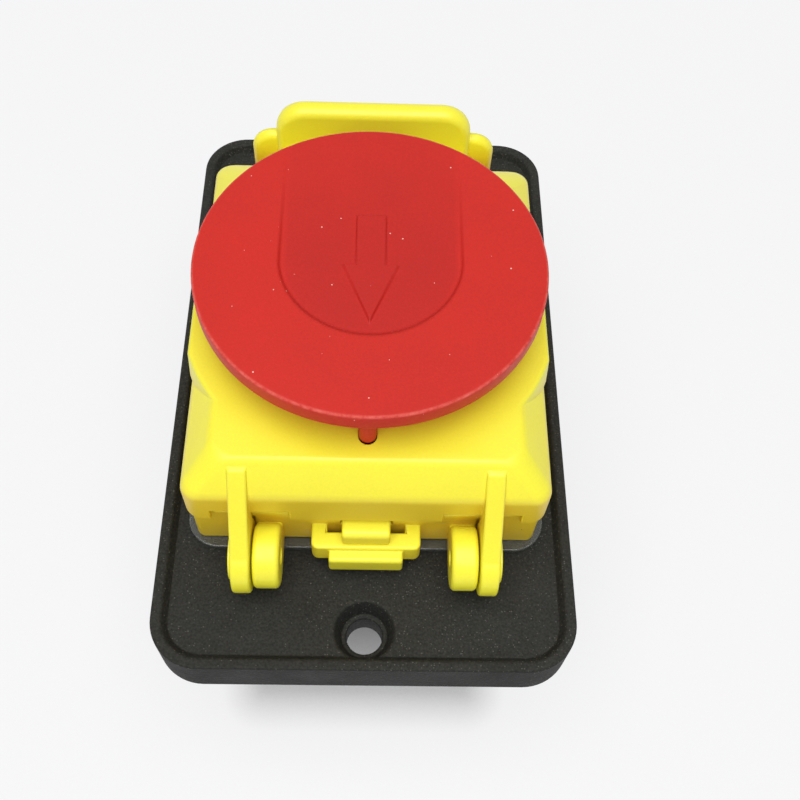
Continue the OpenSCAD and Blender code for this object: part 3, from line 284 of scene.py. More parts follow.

# %% [markdown]
# Drawn and rolled metal has fine lines along one direction: a noise whose space is squeezed along that direction.
# The red disc's rim gets a painted highlight: a pale line, broken in places, where its edge would catch the light. Its
# mask is the distance to a circle in space, so it stays on the rim wherever the disc moves. The floor of its finger
# hollow gets a painted shade, a deeper red.

# %% Drawn lines, a painted rim highlight and a painted shade in the hollow
STAIN_SCALE, STAIN_FROM, STAIN_TO, LINE_GLOSS, LINE_DULL = 160.0, 0.52, 0.72, 0.1, 0.12
BREAK_SCALE, LEAST_HIGHLIGHT, FULL_WITHIN, FADED_OUT = 900.0, 0.15, 0.2, 0.3
drawn, given, made, place = effect(
    "drawn_lines", [("Line Scale", "Float", 1500.0), ("Stretch", "Vector", (0.04, 1.0, 1.0)),
                    ("Roughness", "Float", 0.3)], [("Height", "Float"), ("Roughness", "Float"), ("Mask", "Float")])
pulled = vector_calc(drawn, "MULTIPLY", place, given["Stretch"])
lines = noise(drawn, pulled, given["Line Scale"], detail=4.0, roughness=0.7)
feed(drawn, made["Height"], lines)
feed(drawn, made["Roughness"], calc(drawn, "ADD", given["Roughness"], spread(
    drawn, lines, NOISE_LOW, NOISE_HIGH, -LINE_GLOSS, LINE_DULL)))
stains = noise(drawn, place, STAIN_SCALE, detail=4.0, roughness=0.65)
feed(drawn, made["Mask"], spread(drawn, stains, STAIN_FROM, STAIN_TO, 0.0, 1.0))

# Painted highlight: a pale broken line round the disc's rim, in place of the light its edge catches.
painted_highlight, given, made, place = effect(
    "painted_rim_highlight", [("Middle Y", "Float", 0.0), ("Ring Radius", "Float", 0.02), ("Ring Height", "Float", 0.04),
                    ("Reach", "Float", 0.0004)], [("Mask", "Float")])
at = put(painted_highlight, "SeparateXYZ", Vector=place).outputs
flat = put(painted_highlight, "CombineXYZ", X=at["X"], Y=calc(painted_highlight, "SUBTRACT", at["Y"], given["Middle Y"])).outputs[0]
aside = put(painted_highlight, "CombineXYZ", X=calc(painted_highlight, "SUBTRACT", length_of(painted_highlight, flat), given["Ring Radius"]),
            Y=calc(painted_highlight, "SUBTRACT", at["Z"], given["Ring Height"])).outputs[0]
near = spread(painted_highlight, calc(painted_highlight, "DIVIDE", length_of(painted_highlight, aside), given["Reach"]), FULL_WITHIN, 1.0, 1.0, 0.0)
gaps = noise(painted_highlight, place, BREAK_SCALE, detail=4.0, roughness=0.7)
broken = spread(painted_highlight, gaps, CORE_LOW, CORE_HIGH, LEAST_HIGHLIGHT, 1.0)
feed(painted_highlight, made["Mask"], calc(painted_highlight, "MULTIPLY", near, broken))

# Painted shade: a deeper red over the floor of the finger hollow, fading out towards the back.
hollow_shade, given, made, place = effect(
    "painted_hollow_shade", [("Middle Y", "Float", 0.0), ("Radius", "Float", 0.01), ("Edge", "Float", 0.001),
                     ("Out Y", "Float", 0.02), ("Least Z", "Float", 0.0)], [("Mask", "Float")])
at = put(hollow_shade, "SeparateXYZ", Vector=place).outputs
before = calc(hollow_shade, "MINIMUM", calc(hollow_shade, "SUBTRACT", at["Y"], given["Middle Y"]), 0.0)
out = length_of(hollow_shade, put(hollow_shade, "CombineXYZ", X=at["X"], Y=before).outputs[0])
within = spread(hollow_shade, calc(hollow_shade, "SUBTRACT", given["Radius"], out), 0.0, given["Edge"], 0.0, 1.0)
deep_in = spread(hollow_shade, at["Y"], given["Middle Y"], given["Out Y"], 1.0, FADED_OUT)
on_top = calc(hollow_shade, "GREATER_THAN", at["Z"], given["Least Z"])
feed(hollow_shade, made["Mask"], calc(hollow_shade, "MULTIPLY", calc(hollow_shade, "MULTIPLY", within, deep_in), on_top))
print("effects:", drawn.name, painted_highlight.name, hollow_shade.name)

# %% [markdown]
# ## The finishes
#
# A moulding is a Principled shader whose colour, roughness and bump come from the effects. What is the same all
# over, such as the index of refraction, is set on the shader itself. Colours are written in linear light: a
# helper turns the usual 0 to 255 figures into it, so a colour reads as it looks.


# %% Moulding builder
def linear(red, green, blue):
    """A screen colour in 0 to 255 as linear light. With c from 0 to 1, the curve is c / 12.92 up to 0.04045 and
    ((c + 0.055) / 1.055)^2.4 above it."""
    c = np.array([red, green, blue]) / 255
    return (*np.where(c <= 0.04045, c / 12.92, ((c + 0.055) / 1.055) ** 2.4).tolist(), 1.0)


def blank(name):
    """A material with its Principled shader and nothing else."""
    material = bpy.data.materials.new(name)
    material.use_nodes = True
    tree = material.node_tree
    return material, tree, tree.nodes["Principled BSDF"]


def moulding(name, colour, roughness, painted_shade=None, painted_shade_box=(1.0, 1.0, 1.0), change=0.08, patch=60.0, drift=0.05,
             fleck=0.02, grain_scale=3000.0, depth=0.02, speck_scale=700.0, speck_size=0.12, cover=0.0,
             speck_colour=(0.8, 0.78, 0.74, 1), shine=0.5):
    """Moulded plastic: drifting pigment, grain as bump and roughness. The shade colour, where one is given, is a
    painted shade on upright walls inside a box about the origin, given as half its size in metres, and dust lies where
    cover is above 0. The grain's depth is in mm."""
    material, tree, shader = blank(name)
    base = tint(tree, use(tree, wall_shade, Half_Box=painted_shade_box)["Mask"], colour, painted_shade) if painted_shade else colour
    body = use(tree, pigment, Colour=base, Patch_Scale=patch, Drift=drift, Fleck=fleck)["Colour"]
    skin = use(tree, grain, Grain_Scale=grain_scale, Roughness=roughness, Change=change)
    if cover > 0:
        specks = use(tree, dust, Speck_Scale=speck_scale, Speck_Size=speck_size, Cover=cover)["Mask"]
        body = tint(tree, specks, body, speck_colour)
    bump = put(tree, "Bump", Strength=1.0, Distance=depth * MM, Height=skin["Height"])
    feed(tree, shader.inputs["Base Color"], body)
    feed(tree, shader.inputs["Roughness"], skin["Roughness"])
    feed(tree, shader.inputs["Normal"], bump.outputs[0])
    shader.inputs["Specular IOR Level"].default_value = shine
    return material


print("moulding builder ready")


# %% Metal and clear builders
def metal(name, colour, dull, roughness, stretch=(0.04, 1.0, 1.0), line_scale=1500.0, depth=0.01, strength=0.6):
    """Drawn or rolled metal: fine lines along one direction, with dull stains. The lines' depth is in mm."""
    material, tree, shader = blank(name)
    look = use(tree, drawn, Line_Scale=line_scale, Stretch=stretch, Roughness=roughness)
    bump = put(tree, "Bump", Strength=strength, Distance=depth * MM, Height=look["Height"])
    feed(tree, shader.inputs["Base Color"], tint(tree, look["Mask"], colour, dull))
    feed(tree, shader.inputs["Roughness"], look["Roughness"])
    feed(tree, shader.inputs["Normal"], bump.outputs[0])
    shader.inputs["Metallic"].default_value = 1.0
    return material


def clear_moulding(name, colour, roughness, change=0.08, patch=120.0, drift=0.06, grain_scale=1400.0, depth=0.012,
                   through=0.88, index=1.47):
    """Clear soft plastic: most light passes through, and the skin is slightly uneven. The grain's depth is in mm,
    through is the share of light that passes and index is the index of refraction."""
    material, tree, shader = blank(name)
    skin = use(tree, grain, Grain_Scale=grain_scale, Roughness=roughness, Change=change)
    body = use(tree, pigment, Colour=colour, Patch_Scale=patch, Drift=drift)["Colour"]
    bump = put(tree, "Bump", Strength=1.0, Distance=depth * MM, Height=skin["Height"])
    feed(tree, shader.inputs["Roughness"], skin["Roughness"])
    feed(tree, shader.inputs["Base Color"], body)
    feed(tree, shader.inputs["Normal"], bump.outputs[0])
    shader.inputs["Transmission Weight"].default_value = through
    shader.inputs["IOR"].default_value = index
    return material


print("metal and clear builders ready")

# %% Plastics
# The second colours of the yellow and the amber are painted shade on their upright walls; the yellow's fades out of a
# box about the frame and the lid's lower part.
yellow_moulding = moulding("yellow_moulding", linear(255, 247, 62), 0.38, painted_shade=linear(240, 208, 48),
                           painted_shade_box=(0.04, 0.0355, 0.026), patch=45.0, drift=0.02, depth=0.012, speck_scale=500.0,
                           speck_size=0.12, cover=0.006, speck_colour=linear(96, 80, 30))
amber_moulding = moulding("amber_moulding", linear(236, 186, 30), 0.42, painted_shade=linear(230, 172, 26), patch=45.0,
                          drift=0.04, depth=0.012)
# The deeper red is a painted shade for the floor of the disc's hollow, and the pale red a painted highlight for its
# rim.
RED, HOLLOW_SHADE_RED, PAINTED_HIGHLIGHT_RED = linear(204, 40, 30), linear(190, 34, 27), linear(232, 104, 92)
red_moulding = moulding("red_moulding", RED, 0.5, patch=40.0, drift=0.05, fleck=0.04,
                        grain_scale=3600.0, depth=0.022, speck_scale=1000.0, speck_size=0.14, cover=0.07,
                        speck_colour=linear(250, 196, 184), shine=0.3)
dark_red_moulding = moulding("dark_red_moulding", linear(168, 34, 30), 0.42, drift=0.05)
# The plate's second colour is a painted shade on its upright walls.
plate_skin = moulding("plate_skin", linear(37, 37, 33), 0.68, painted_shade=linear(25, 25, 23), patch=30.0, drift=0.08,
                      fleck=0.45, grain_scale=2000.0, depth=0.1, speck_scale=2500.0, speck_size=0.3, cover=0.55,
                      speck_colour=linear(84, 83, 77), shine=0.24)
case_skin = moulding("case_skin", linear(38, 38, 38), 0.48, patch=50.0, drift=0.1, grain_scale=2600.0, depth=0.03)
ivory_moulding = moulding("ivory_moulding", linear(232, 224, 204), 0.5, drift=0.04)
green_cap = moulding("green_cap", linear(40, 140, 72), 0.34, drift=0.04)
stop_cap = moulding("stop_cap", linear(200, 38, 30), 0.34, drift=0.04)
clear_vinyl = clear_moulding("clear_vinyl", linear(206, 210, 204), 0.16)
print("plastics made, yellow to clear")

# %% Metals
zinc_plate = metal("zinc_plate", linear(206, 208, 212), linear(150, 152, 156), 0.28, stretch=(1.0, 1.0, 0.1))
spring_wire = metal("spring_wire", linear(190, 192, 196), linear(128, 130, 134), 0.3, stretch=(1.0, 1.0, 1.0))
core_steel = metal("core_steel", linear(134, 136, 140), linear(96, 94, 92), 0.4, stretch=(1.0, 0.02, 0.02),
                   line_scale=2600.0, depth=0.05)
contact_brass = metal("contact_brass", linear(214, 176, 92), linear(164, 124, 66), 0.26, stretch=(1.0, 1.0, 0.04))
copper_enamel = metal("copper_enamel", linear(190, 100, 48), linear(140, 64, 30), 0.26, stretch=(1.0, 1.0, 1.0))
print("metals made, zinc to copper")

# %% [markdown]
# ## Softening a moulding's edges
#
# A solid's edges are perfectly sharp, and no moulded edge is: the small round along each edge is what catches the
# light. We could model every round by hand, but the edges are all there already. We copy a solid, merge its
# doubled corners and join its flat faces. The angle between an edge's two faces, and whether it is a ridge or
# a valley, then come from arrays of all edges at once.


# %% Edges as arrays
def read(items, name, width, kind):
    """One property of all the items as an array, with width numbers for each."""
    values = np.empty(len(items) * width, kind)
    items.foreach_get(name, values)
    return values.reshape(-1, width) if width > 1 else values


def edge_turns(mesh):
    """For each edge: its middle, the turn between its two faces, and whether it is a ridge.
    With the first face's direction along the edge d and the two normals a and b, a ridge has (a x b) . d above 0."""
    co = read(mesh.vertices, "co", 3, np.float32)
    ends = read(mesh.edges, "vertices", 2, np.int32)
    corner, side = read(mesh.loops, "vertex_index", 1, np.int32), read(mesh.loops, "edge_index", 1, np.int32)
    size = read(mesh.polygons, "loop_total", 1, np.int32)
    start = read(mesh.polygons, "loop_start", 1, np.int32)
    normal = np.repeat(read(mesh.polygons, "normal", 3, np.float32), size, axis=0)
    following = np.arange(len(corner)) + 1
    following[start + size - 1] = start
    along = co[corner[following]] - co[corner]
    order = np.argsort(side, kind="stable")
    first = np.searchsorted(side[order], np.arange(len(ends)))
    paired = np.bincount(side, minlength=len(ends)) == 2
    one, two = order[first], order[np.minimum(first + 1, len(order) - 1)]
    turn = np.arccos(np.clip((normal[one] * normal[two]).sum(1), -1, 1)) * paired
    ridge = (np.cross(normal[one], normal[two]) * along[one]).sum(1) > 0
    return co[ends].mean(1), turn, ridge


print("edge arrays ready")

# %% [markdown]
# The rounding itself is a Bevel modifier that reads a weight for each edge, so one modifier gives large rounds
# and small ones. Weighted normals then keep the flat faces flat to the eye.

# %% Softened copies
FLAT, CREASE = math.radians(0.6), math.radians(35)
SAME_POINT = 0.002 * MM


def merged(node):
    """A copy of a solid's mesh with its doubled corners merged and its flat faces joined."""
    mesh = bpy.data.meshes.new("finished_" + node)
    shape = bmesh.new()
    shape.from_mesh(solids[node].data)
    bmesh.ops.remove_doubles(shape, verts=shape.verts, dist=SAME_POINT)
    bmesh.ops.dissolve_degenerate(shape, edges=shape.edges, dist=SAME_POINT)
    bmesh.ops.dissolve_limit(shape, angle_limit=FLAT, verts=shape.verts, edges=shape.edges)
    shape.to_mesh(mesh)
    shape.free()
    return mesh


def stand_for(piece, slot, *nodes):
    """The piece takes the solids' place and moves with their body. slot, the named finish of the record, is not used.
    """
    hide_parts(*nodes)
    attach(piece, carried_by[nodes[0]])
    return piece


def softened(node, finish, slot, radius, valley=0.4, steps=3):
    """A finished copy of a solid with rounds of radius mm on its ridges and a share of that in its valleys.
    radius may be a function that gives one for each edge, from the edges' middles in mm."""
    mesh = merged(node)
    middle, turn, ridge = edge_turns(mesh)
    wanted = radius(middle / MM) if callable(radius) else np.full(len(turn), float(radius))
    wanted = np.where(ridge, wanted, wanted * valley) * (turn > CREASE)
    widest = float(wanted.max())
    weight = mesh.attributes.new("bevel_weight_edge", "FLOAT", "EDGE")
    weight.data.foreach_set("value", (wanted / widest).astype(np.float32))
    sharp = mesh.attributes.new("sharp_edge", "BOOLEAN", "EDGE")
    sharp.data.foreach_set("value", (turn > CREASE) & (wanted == 0))
    mesh.polygons.foreach_set("use_smooth", np.ones(len(mesh.polygons), bool))
    mesh.materials.clear()
    mesh.materials.append(finish)
    piece = bpy.data.objects.new("finished_" + node, mesh)
    bpy.context.scene.collection.objects.link(piece)
    rounds = piece.modifiers.new("rounds", "BEVEL")
    rounds.limit_method, rounds.width, rounds.segments = "WEIGHT", widest * MM, steps
    rounds.use_clamp_overlap = False
    piece.modifiers.new("even_light", "WEIGHTED_NORMAL").keep_sharp = True
    return stand_for(piece, slot, node)


print("edge rounding ready")

# %% [markdown]
# ## The plate, the frame and the lid
#
# These are the big mouldings. The plate has a crisp grained rim, the yellow ones have fuller rounds: the lid's
# slopes and the latch post bring theirs with them, and the other edges get theirs here. One radius for a whole
# piece would be too large where its features are fine, so the frame and the lid choose by place.

# %% Plate, seal, frame and lid
FRAME_FRONT_Y, SLOPE_Z, ARM_IN_X, ARM_OUT_X, LUG_IN_X, LUG_OUT_X = -34.25, 27.4, 18.4, 21.45, 13.8, 18.1
WALL_ROUND, LOOP_ROUND, ARM_ROUND, TOP_ROUND = 0.35, 0.5, 0.45, 0.14
ARM_MARGIN, ARM_DEPTH, ROUND_BELOW, LOOP_GAP, DRUM_SIDE_X = 0.1, 3.0, 1.2, 0.2, 21.6


def frame_rounds(middle):
    """Rounds of the frame in mm: small on its walls, larger on the loop in front of it, none on the lugs, which
    are round already."""
    across, along = np.abs(middle[:, 0]), middle[:, 1]
    on_lug = (across > LUG_IN_X - ARM_MARGIN) & (across < LUG_OUT_X + ARM_MARGIN) & (along < FRAME_FRONT_Y + LOOP_GAP)
    return np.where(on_lug, 0, np.where(along < FRAME_FRONT_Y - LOOP_GAP, LOOP_ROUND, WALL_ROUND))


def lid_rounds(middle):
    """Rounds of the lid in mm: a fair one at the skirt's foot, a larger one on the arms, fine ones in the top, none
    where the drum's own round edge runs out at the sides."""
    across, along, up = np.abs(middle[:, 0]), middle[:, 1], middle[:, 2]
    on_arm = (across > ARM_IN_X - ARM_MARGIN) & (across < ARM_OUT_X + ARM_MARGIN)
    on_arm &= along < FRAME_FRONT_Y + ARM_DEPTH
    top = np.where(across > DRUM_SIDE_X, 0, TOP_ROUND)
    return np.where(on_arm, ARM_ROUND, np.where(up > SLOPE_Z - ROUND_BELOW, top, WALL_ROUND))


softened("mounting_plate", plate_skin, "black_plastic", 0.4)
softened("clear_seal", clear_vinyl, "clear_plastic", 0.3)
softened("base_frame", yellow_moulding, "yellow_plastic", frame_rounds)
softened("clamp_ring", yellow_moulding, "yellow_plastic", 0.5)
softened("lid", yellow_moulding, "yellow_plastic", lid_rounds)
softened("hinge_pins", yellow_moulding, "yellow_plastic", 0.2)
print("large mouldings made")

# %% [markdown]
# ## The switch behind the panel
#
# The case, its deck and neck, the terminals, the magnet and the buttons are mostly out of sight, but they show from
# behind and when the lid is open. Sheet-metal tabs get only a hair of rounding, as a stamping has.

# %% Switch body and buttons
for node, finish, slot, radius in (
        ("frame_screws", zinc_plate, "screw_steel", 0.15), ("switch_case", case_skin, "black_plastic", 0.4),
        ("spring_deck", ivory_moulding, "ivory_plastic", 0.25), ("switch_bezel", case_skin, "black_plastic", 0.35),
        ("iron_core", core_steel, "core_iron", 0.12), ("coil_bobbin", ivory_moulding, "ivory_plastic", 0.12),
        ("line_terminals", contact_brass, "contact_brass", 0.12),
        ("load_terminals", contact_brass, "contact_brass", 0.12),
        ("coil_terminals", contact_brass, "contact_brass", 0.12), ("off_button", stop_cap, "red_plastic", 0.6),
        ("off_boot", clear_vinyl, "clear_plastic", 0.3), ("stop_bridge", contact_brass, "contact_brass", 0.12),
        ("on_button", green_cap, "green_plastic", 0.6), ("on_boot", clear_vinyl, "clear_plastic", 0.3),
        ("contact_carrier", ivory_moulding, "ivory_plastic", 0.25),
        ("armature_plate", core_steel, "core_iron", 0.15),
        ("contact_bridges", contact_brass, "contact_brass", 0.12)):
    softened(node, finish, slot, radius)
print("switch body made")

# %% [markdown]
# Under the lid's top, a slide with the latch bolt runs between two rails, and a foot on the disc's stem reaches
# the off button. They are moulded too, in a darker red and an amber that only show with the lid open.

# %% Latch and stop parts
for node, finish, slot, radius in (
        ("slider_rails", amber_moulding, "yellow_plastic", 0.25), ("rail_screws", zinc_plate, "screw_steel", 0.15),
        ("latch_slider", dark_red_moulding, "red_plastic", 0.3),
        ("slot_shield", dark_red_moulding, "red_plastic", 0.2),
        ("stop_pusher", dark_red_moulding, "red_plastic", 0.3),
        ("pusher_screw", zinc_plate, "screw_steel", 0.15)):
    softened(node, finish, slot, radius)
print("latch and stop parts made")

# %% [markdown]
# ## Surfaces from two parameters
#
# The disc, the springs and the winding are better made as surfaces of our own. Each is a grid of points: one
# parameter runs along a profile, the other round an axis or along a path. Neighbours on the grid make the
# faces, so a closed direction only needs its last row joined to its first.


# %% Grid helpers
def grid_faces(rows, columns, wrap_rows=False, wrap_columns=True):
    """Four-cornered faces of a grid of points, numbered row by row."""
    i = np.arange(rows if wrap_rows else rows - 1)[:, None]
    j = np.arange(columns if wrap_columns else columns - 1)[None, :]
    a = i * columns + j
    b = i * columns + (j + 1) % columns
    up = ((i + 1) % rows) * columns
    return np.stack([a, b, up + (j + 1) % columns, up + j], axis=-1).reshape(-1, 4)


def capped(rows, columns, flip=False):
    """Faces of a grid whose columns close on themselves, with one more face over its first and its last row."""
    ends = [list(range(columns))[::-1], list(range((rows - 1) * columns, rows * columns))]
    faces = grid_faces(rows, columns).tolist() + ends
    return [face[::-1] for face in faces] if flip else faces


def surface(name, parts, finish):
    """An object from parts, each of them points in metres and the faces between them."""
    starts = np.cumsum([0] + [len(points) for points, faces in parts])
    points = np.concatenate([points for points, faces in parts])
    faces = [[i + start for i in face] for (_, faces), start in zip(parts, starts.tolist()) for face in faces]
    mesh = bpy.data.meshes.new(name)
    mesh.from_pydata(points.tolist(), [], faces)
    mesh.polygons.foreach_set("use_smooth", np.ones(len(mesh.polygons), bool))
    mesh.materials.append(finish)
    piece = bpy.data.objects.new(name, mesh)
    bpy.context.scene.collection.objects.link(piece)
    return piece


def smooth_step(value, low, high):
    """0 below low, 1 above high, and 3t^2 - 2t^3 between them."""
    t = np.clip((value - low) / (high - low), 0, 1)
    return t * t * (3 - 2 * t)


print("grid helpers ready")

# %% [markdown]
# ## The red disc
#
# The disc is turned about its own axis: a profile runs from the middle of the top over the rounded rim, under the
# disc, round the hub, down the stem and up the hole of its screw. The profile is put together from straight runs
# and round bends.

# %% Disc profile
DISC_Y, DISC_R, DISC_Z, DISC_TOP_Z = -2.3, 28.1, 41.0, 44.5
HUB_OUT_R, HUB_IN_R, HUB_Z, STEM_R, STEM_Z = 11.0, 9.5, 37.5, 4.0, 28.4
SCREW_R, SCREW_TOP_Z, POLE_R = 1.27, 33.7, 0.02
RIM_R, HUB_FILLET, FILLET, RUN_OUT = 0.5, 0.4, 0.3, 1.0
INNER_R, OUTER_R = 6.0, 21.0
INNER_STEPS, MIDDLE_STEPS, OUTER_STEPS, RIM_STEPS, UNDER_STEPS, STEM_STEPS = 24, 76, 24, 6, 6, 4


def bend(r, z, radius, start, end, steps=4):
    """Points of a round edge: an arc of radius about (r, z), from one angle to the other in degrees."""
    angle = np.radians(np.linspace(start, end, steps))
    return np.stack([r + radius * np.cos(angle), z + radius * np.sin(angle)], axis=1)


def straight(r0, z0, r1, z1, steps):
    """Points between two places of a profile, without the last one."""
    t = np.linspace(0, 1, steps, endpoint=False)[:, None]
    return np.array([r0, z0]) * (1 - t) + np.array([r1, z1]) * t


rim_in = DISC_R - RIM_R
disc_profile = np.concatenate([
    straight(POLE_R, DISC_TOP_Z, INNER_R, DISC_TOP_Z, INNER_STEPS),
    straight(INNER_R, DISC_TOP_Z, OUTER_R, DISC_TOP_Z, MIDDLE_STEPS),
    straight(OUTER_R, DISC_TOP_Z, rim_in, DISC_TOP_Z, OUTER_STEPS),
    bend(rim_in, DISC_TOP_Z - RIM_R, RIM_R, 90, 0, RIM_STEPS), bend(rim_in, DISC_Z + RIM_R, RIM_R, 0, -90, RIM_STEPS),
    straight(rim_in - FILLET, DISC_Z, HUB_OUT_R + RUN_OUT, DISC_Z, UNDER_STEPS),
    bend(HUB_OUT_R + HUB_FILLET, DISC_Z - HUB_FILLET, HUB_FILLET, 90, 180),
    bend(HUB_OUT_R - FILLET, HUB_Z + FILLET, FILLET, 0, -90), bend(HUB_IN_R + FILLET, HUB_Z + FILLET, FILLET, 270, 180),
    straight(HUB_IN_R, DISC_Z, STEM_R + FILLET, DISC_Z, 3),
    bend(STEM_R + FILLET, DISC_Z - FILLET, FILLET, 90, 180),
    straight(STEM_R, DISC_Z - RUN_OUT, STEM_R, STEM_Z + FILLET, STEM_STEPS),
    bend(STEM_R - FILLET, STEM_Z + FILLET, FILLET, 0, -90),
    straight(SCREW_R, STEM_Z, SCREW_R, SCREW_TOP_Z, 3), [[SCREW_R, SCREW_TOP_Z], [POLE_R, SCREW_TOP_Z]]])
print("disc profile of", len(disc_profile), "points")

# %% [markdown]
# The finger hollow and the arrow are pressed into the top as a height for each point. The hollow is deepest at
# its round front end, where its wall leans most, and runs out towards the back. The arrow stands a little above
# its floor. Distances to the outlines, softened over a fraction of a millimetre, give moulded shoulders. A bump
# in the material could show the same lines, but it would leave the exported mesh flat.

# %% Hollow and arrow
HOLLOW_R, HOLLOW_Y, HOLLOW_OUT_Y, HOLLOW_DEPTH = 14.5, -1.6, 21.7, 1.3
ARROW_TIP_Y, ARROW_HEAD_L, ARROW_HEAD_W, ARROW_SHAFT_W, ARROW_SHAFT_L = -12.95, 10.45, 8.8, 4.75, 9.8
ARROW_UP, SHAFT_INTO_HEAD, SHOULDER, FRONT_LEAN = 0.5, 1.0, 0.3, 1.0


def arrow_gap(x, y):
    """Distance out of the arrow's outline, below 0 inside: the nearer of a triangle and a bar that reaches into it."""
    head_y = ARROW_TIP_Y + ARROW_HEAD_L
    lean = ARROW_HEAD_L / math.hypot(ARROW_HEAD_L, ARROW_HEAD_W / 2)
    head = np.maximum(y - head_y, (np.abs(x) - (y - ARROW_TIP_Y) * ARROW_HEAD_W / 2 / ARROW_HEAD_L) * lean)
    past_ends = np.maximum(head_y - SHAFT_INTO_HEAD - y, y - head_y - ARROW_SHAFT_L)
    return np.minimum(head, np.maximum(np.abs(x) - ARROW_SHAFT_W / 2, past_ends))


def hollow(x, y):
    """How far the top is pressed down at each place, in mm: a ramp inside a U outline, less under the arrow."""
    inside = HOLLOW_R - np.where(y < HOLLOW_Y, np.hypot(x, y - HOLLOW_Y), np.abs(x))
    ramp = HOLLOW_DEPTH * np.clip((HOLLOW_OUT_Y - y) / (HOLLOW_OUT_Y - HOLLOW_Y + HOLLOW_R), 0, 1)
    wall = SHOULDER + FRONT_LEAN * smooth_step(HOLLOW_Y - y, 0, HOLLOW_R)
    raised = ARROW_UP * smooth_step(-arrow_gap(x, y), -SHOULDER / 2, SHOULDER / 2)
    return np.maximum(ramp - raised, 0) * smooth_step(inside, -SHOULDER, wall)


beside_tip = np.array([[ARROW_SHAFT_W], [ARROW_TIP_Y]])
print("hollow", round(float(hollow(*beside_tip)[0]), 2), "mm deep beside the arrow's tip")

# %% Disc and guide peg
PEG_R, PEG_Y, PEG_Z, PEG_ROUND = 1.4, -27.4, 33.6, 0.35
AROUND, PEG_AROUND, PEG_STEPS, PEG_BEND_STEPS = 480, 32, 6, 5


def turned(profile, y, around):
    """A profile of (radius, height) turned about an upright axis; its two ends lie near the axis."""
    angle = np.linspace(0, 2 * math.pi, around, endpoint=False)
    radius, height = profile[:, :1], profile[:, 1:]
    return np.stack([radius * np.cos(angle), y + radius * np.sin(angle), height + 0 * angle], axis=-1)


disc_grid = turned(disc_profile, DISC_Y, AROUND)
on_top = np.isclose(disc_grid[..., 2], DISC_TOP_Z)
disc_grid[..., 2] -= np.where(on_top, hollow(disc_grid[..., 0], disc_grid[..., 1]), 0)
peg_profile = np.concatenate([
    [[POLE_R, DISC_Z]], straight(PEG_R, DISC_Z, PEG_R, PEG_Z + PEG_ROUND, PEG_STEPS),
    bend(PEG_R - PEG_ROUND, PEG_Z + PEG_ROUND, PEG_ROUND, 0, -90, PEG_BEND_STEPS), [[POLE_R, PEG_Z]]])
disc_part = (disc_grid.reshape(-1, 3) * MM, capped(len(disc_profile), AROUND, flip=True))
peg_part = (turned(peg_profile, PEG_Y, PEG_AROUND).reshape(-1, 3) * MM,
            capped(len(peg_profile), PEG_AROUND, flip=True))
disc = stand_for(surface("red_disc", [disc_part, peg_part], red_moulding), "red_plastic", "stop_disc")
print("disc of", len(disc.data.polygons), "faces")

# %% [markdown]
# The disc's shape is settled now, so its two painted marks can be placed: the painted highlight on the rim goes over
# the dust, and the hollow's painted shade, a deeper red, goes under it, into the pigment.

# %% Painted rim highlight and painted hollow shade
HIGHLIGHT_IN, FLOOR_EDGE = 0.1, 1.2
red_tree = red_moulding.node_tree
red_base = red_tree.nodes["Principled BSDF"].inputs["Base Color"]
highlight_mask = use(red_tree, painted_highlight, Middle_Y=DISC_Y * MM, Ring_Radius=(DISC_R - HIGHLIGHT_IN) * MM,
           Ring_Height=(DISC_TOP_Z - HIGHLIGHT_IN) * MM)["Mask"]
feed(red_tree, red_base, tint(red_tree, highlight_mask, red_base.links[0].from_socket, PAINTED_HIGHLIGHT_RED))
hollow_shade_mask = use(red_tree, hollow_shade, Middle_Y=HOLLOW_Y * MM, Radius=HOLLOW_R * MM, Edge=FLOOR_EDGE * MM,
             Out_Y=HOLLOW_OUT_Y * MM, Least_Z=DISC_Z * MM)["Mask"]
coloured = next(node for node in red_tree.nodes if getattr(node, "node_tree", None) == pigment)
feed(red_tree, coloured.inputs["Colour"], tint(red_tree, hollow_shade_mask, RED, HOLLOW_SHADE_RED))
print("rim rubbed", HIGHLIGHT_IN, "mm in from its edge")

# %% [markdown]
# ## Springs
#
# A spring is a circle of wire carried along a helix. A compression spring's ends lie flat, so the rise starts and stops
# gently. When a button or the disc goes down, its spring shortens towards the end that stays put; each spring that
# rides on a joint gets a mesh of its own.

# %% Springs
STROKE, EVEN_SHARE, TIP_SHARE = 3.0, 0.45, 0.02
WIRE_SIDES, TURN_STEPS = 10, 40


def coil(x, y, z0, z1, across, wire, turns):
    """A wire of that diameter on a helix: with u from 0 to 1 along it, the rise is a mix of u and 3u^2 - 2u^3."""
    u = np.linspace(0, 1, turns * TURN_STEPS + 1)
    angle = 2 * math.pi * turns * u
    rise = z0 + wire / 2 + (z1 - z0 - wire) * (EVEN_SHARE * u + (1 - EVEN_SHARE) * smooth_step(u, 0, 1))
    out = np.stack([np.cos(angle), np.sin(angle), 0 * angle], axis=1)
    path = np.stack([x + across / 2 * out[:, 0], y + across / 2 * out[:, 1], rise], axis=1)
    ahead = np.gradient(path, axis=0)
    ahead /= np.linalg.norm(ahead, axis=1, keepdims=True)
    side = np.cross(ahead, out)
    round_wire = np.linspace(0, 2 * math.pi, WIRE_SIDES, endpoint=False)[None, :, None]
    ring = np.cos(round_wire) * out[:, None] + np.sin(round_wire) * side[:, None]
    thick = np.ones(len(u))
    thick[[0, -1]] = TIP_SHARE
    tube = path[:, None] + ring * (wire / 2 * thick)[:, None, None]
    return tube.reshape(-1, 3) * MM, capped(len(u), WIRE_SIDES)


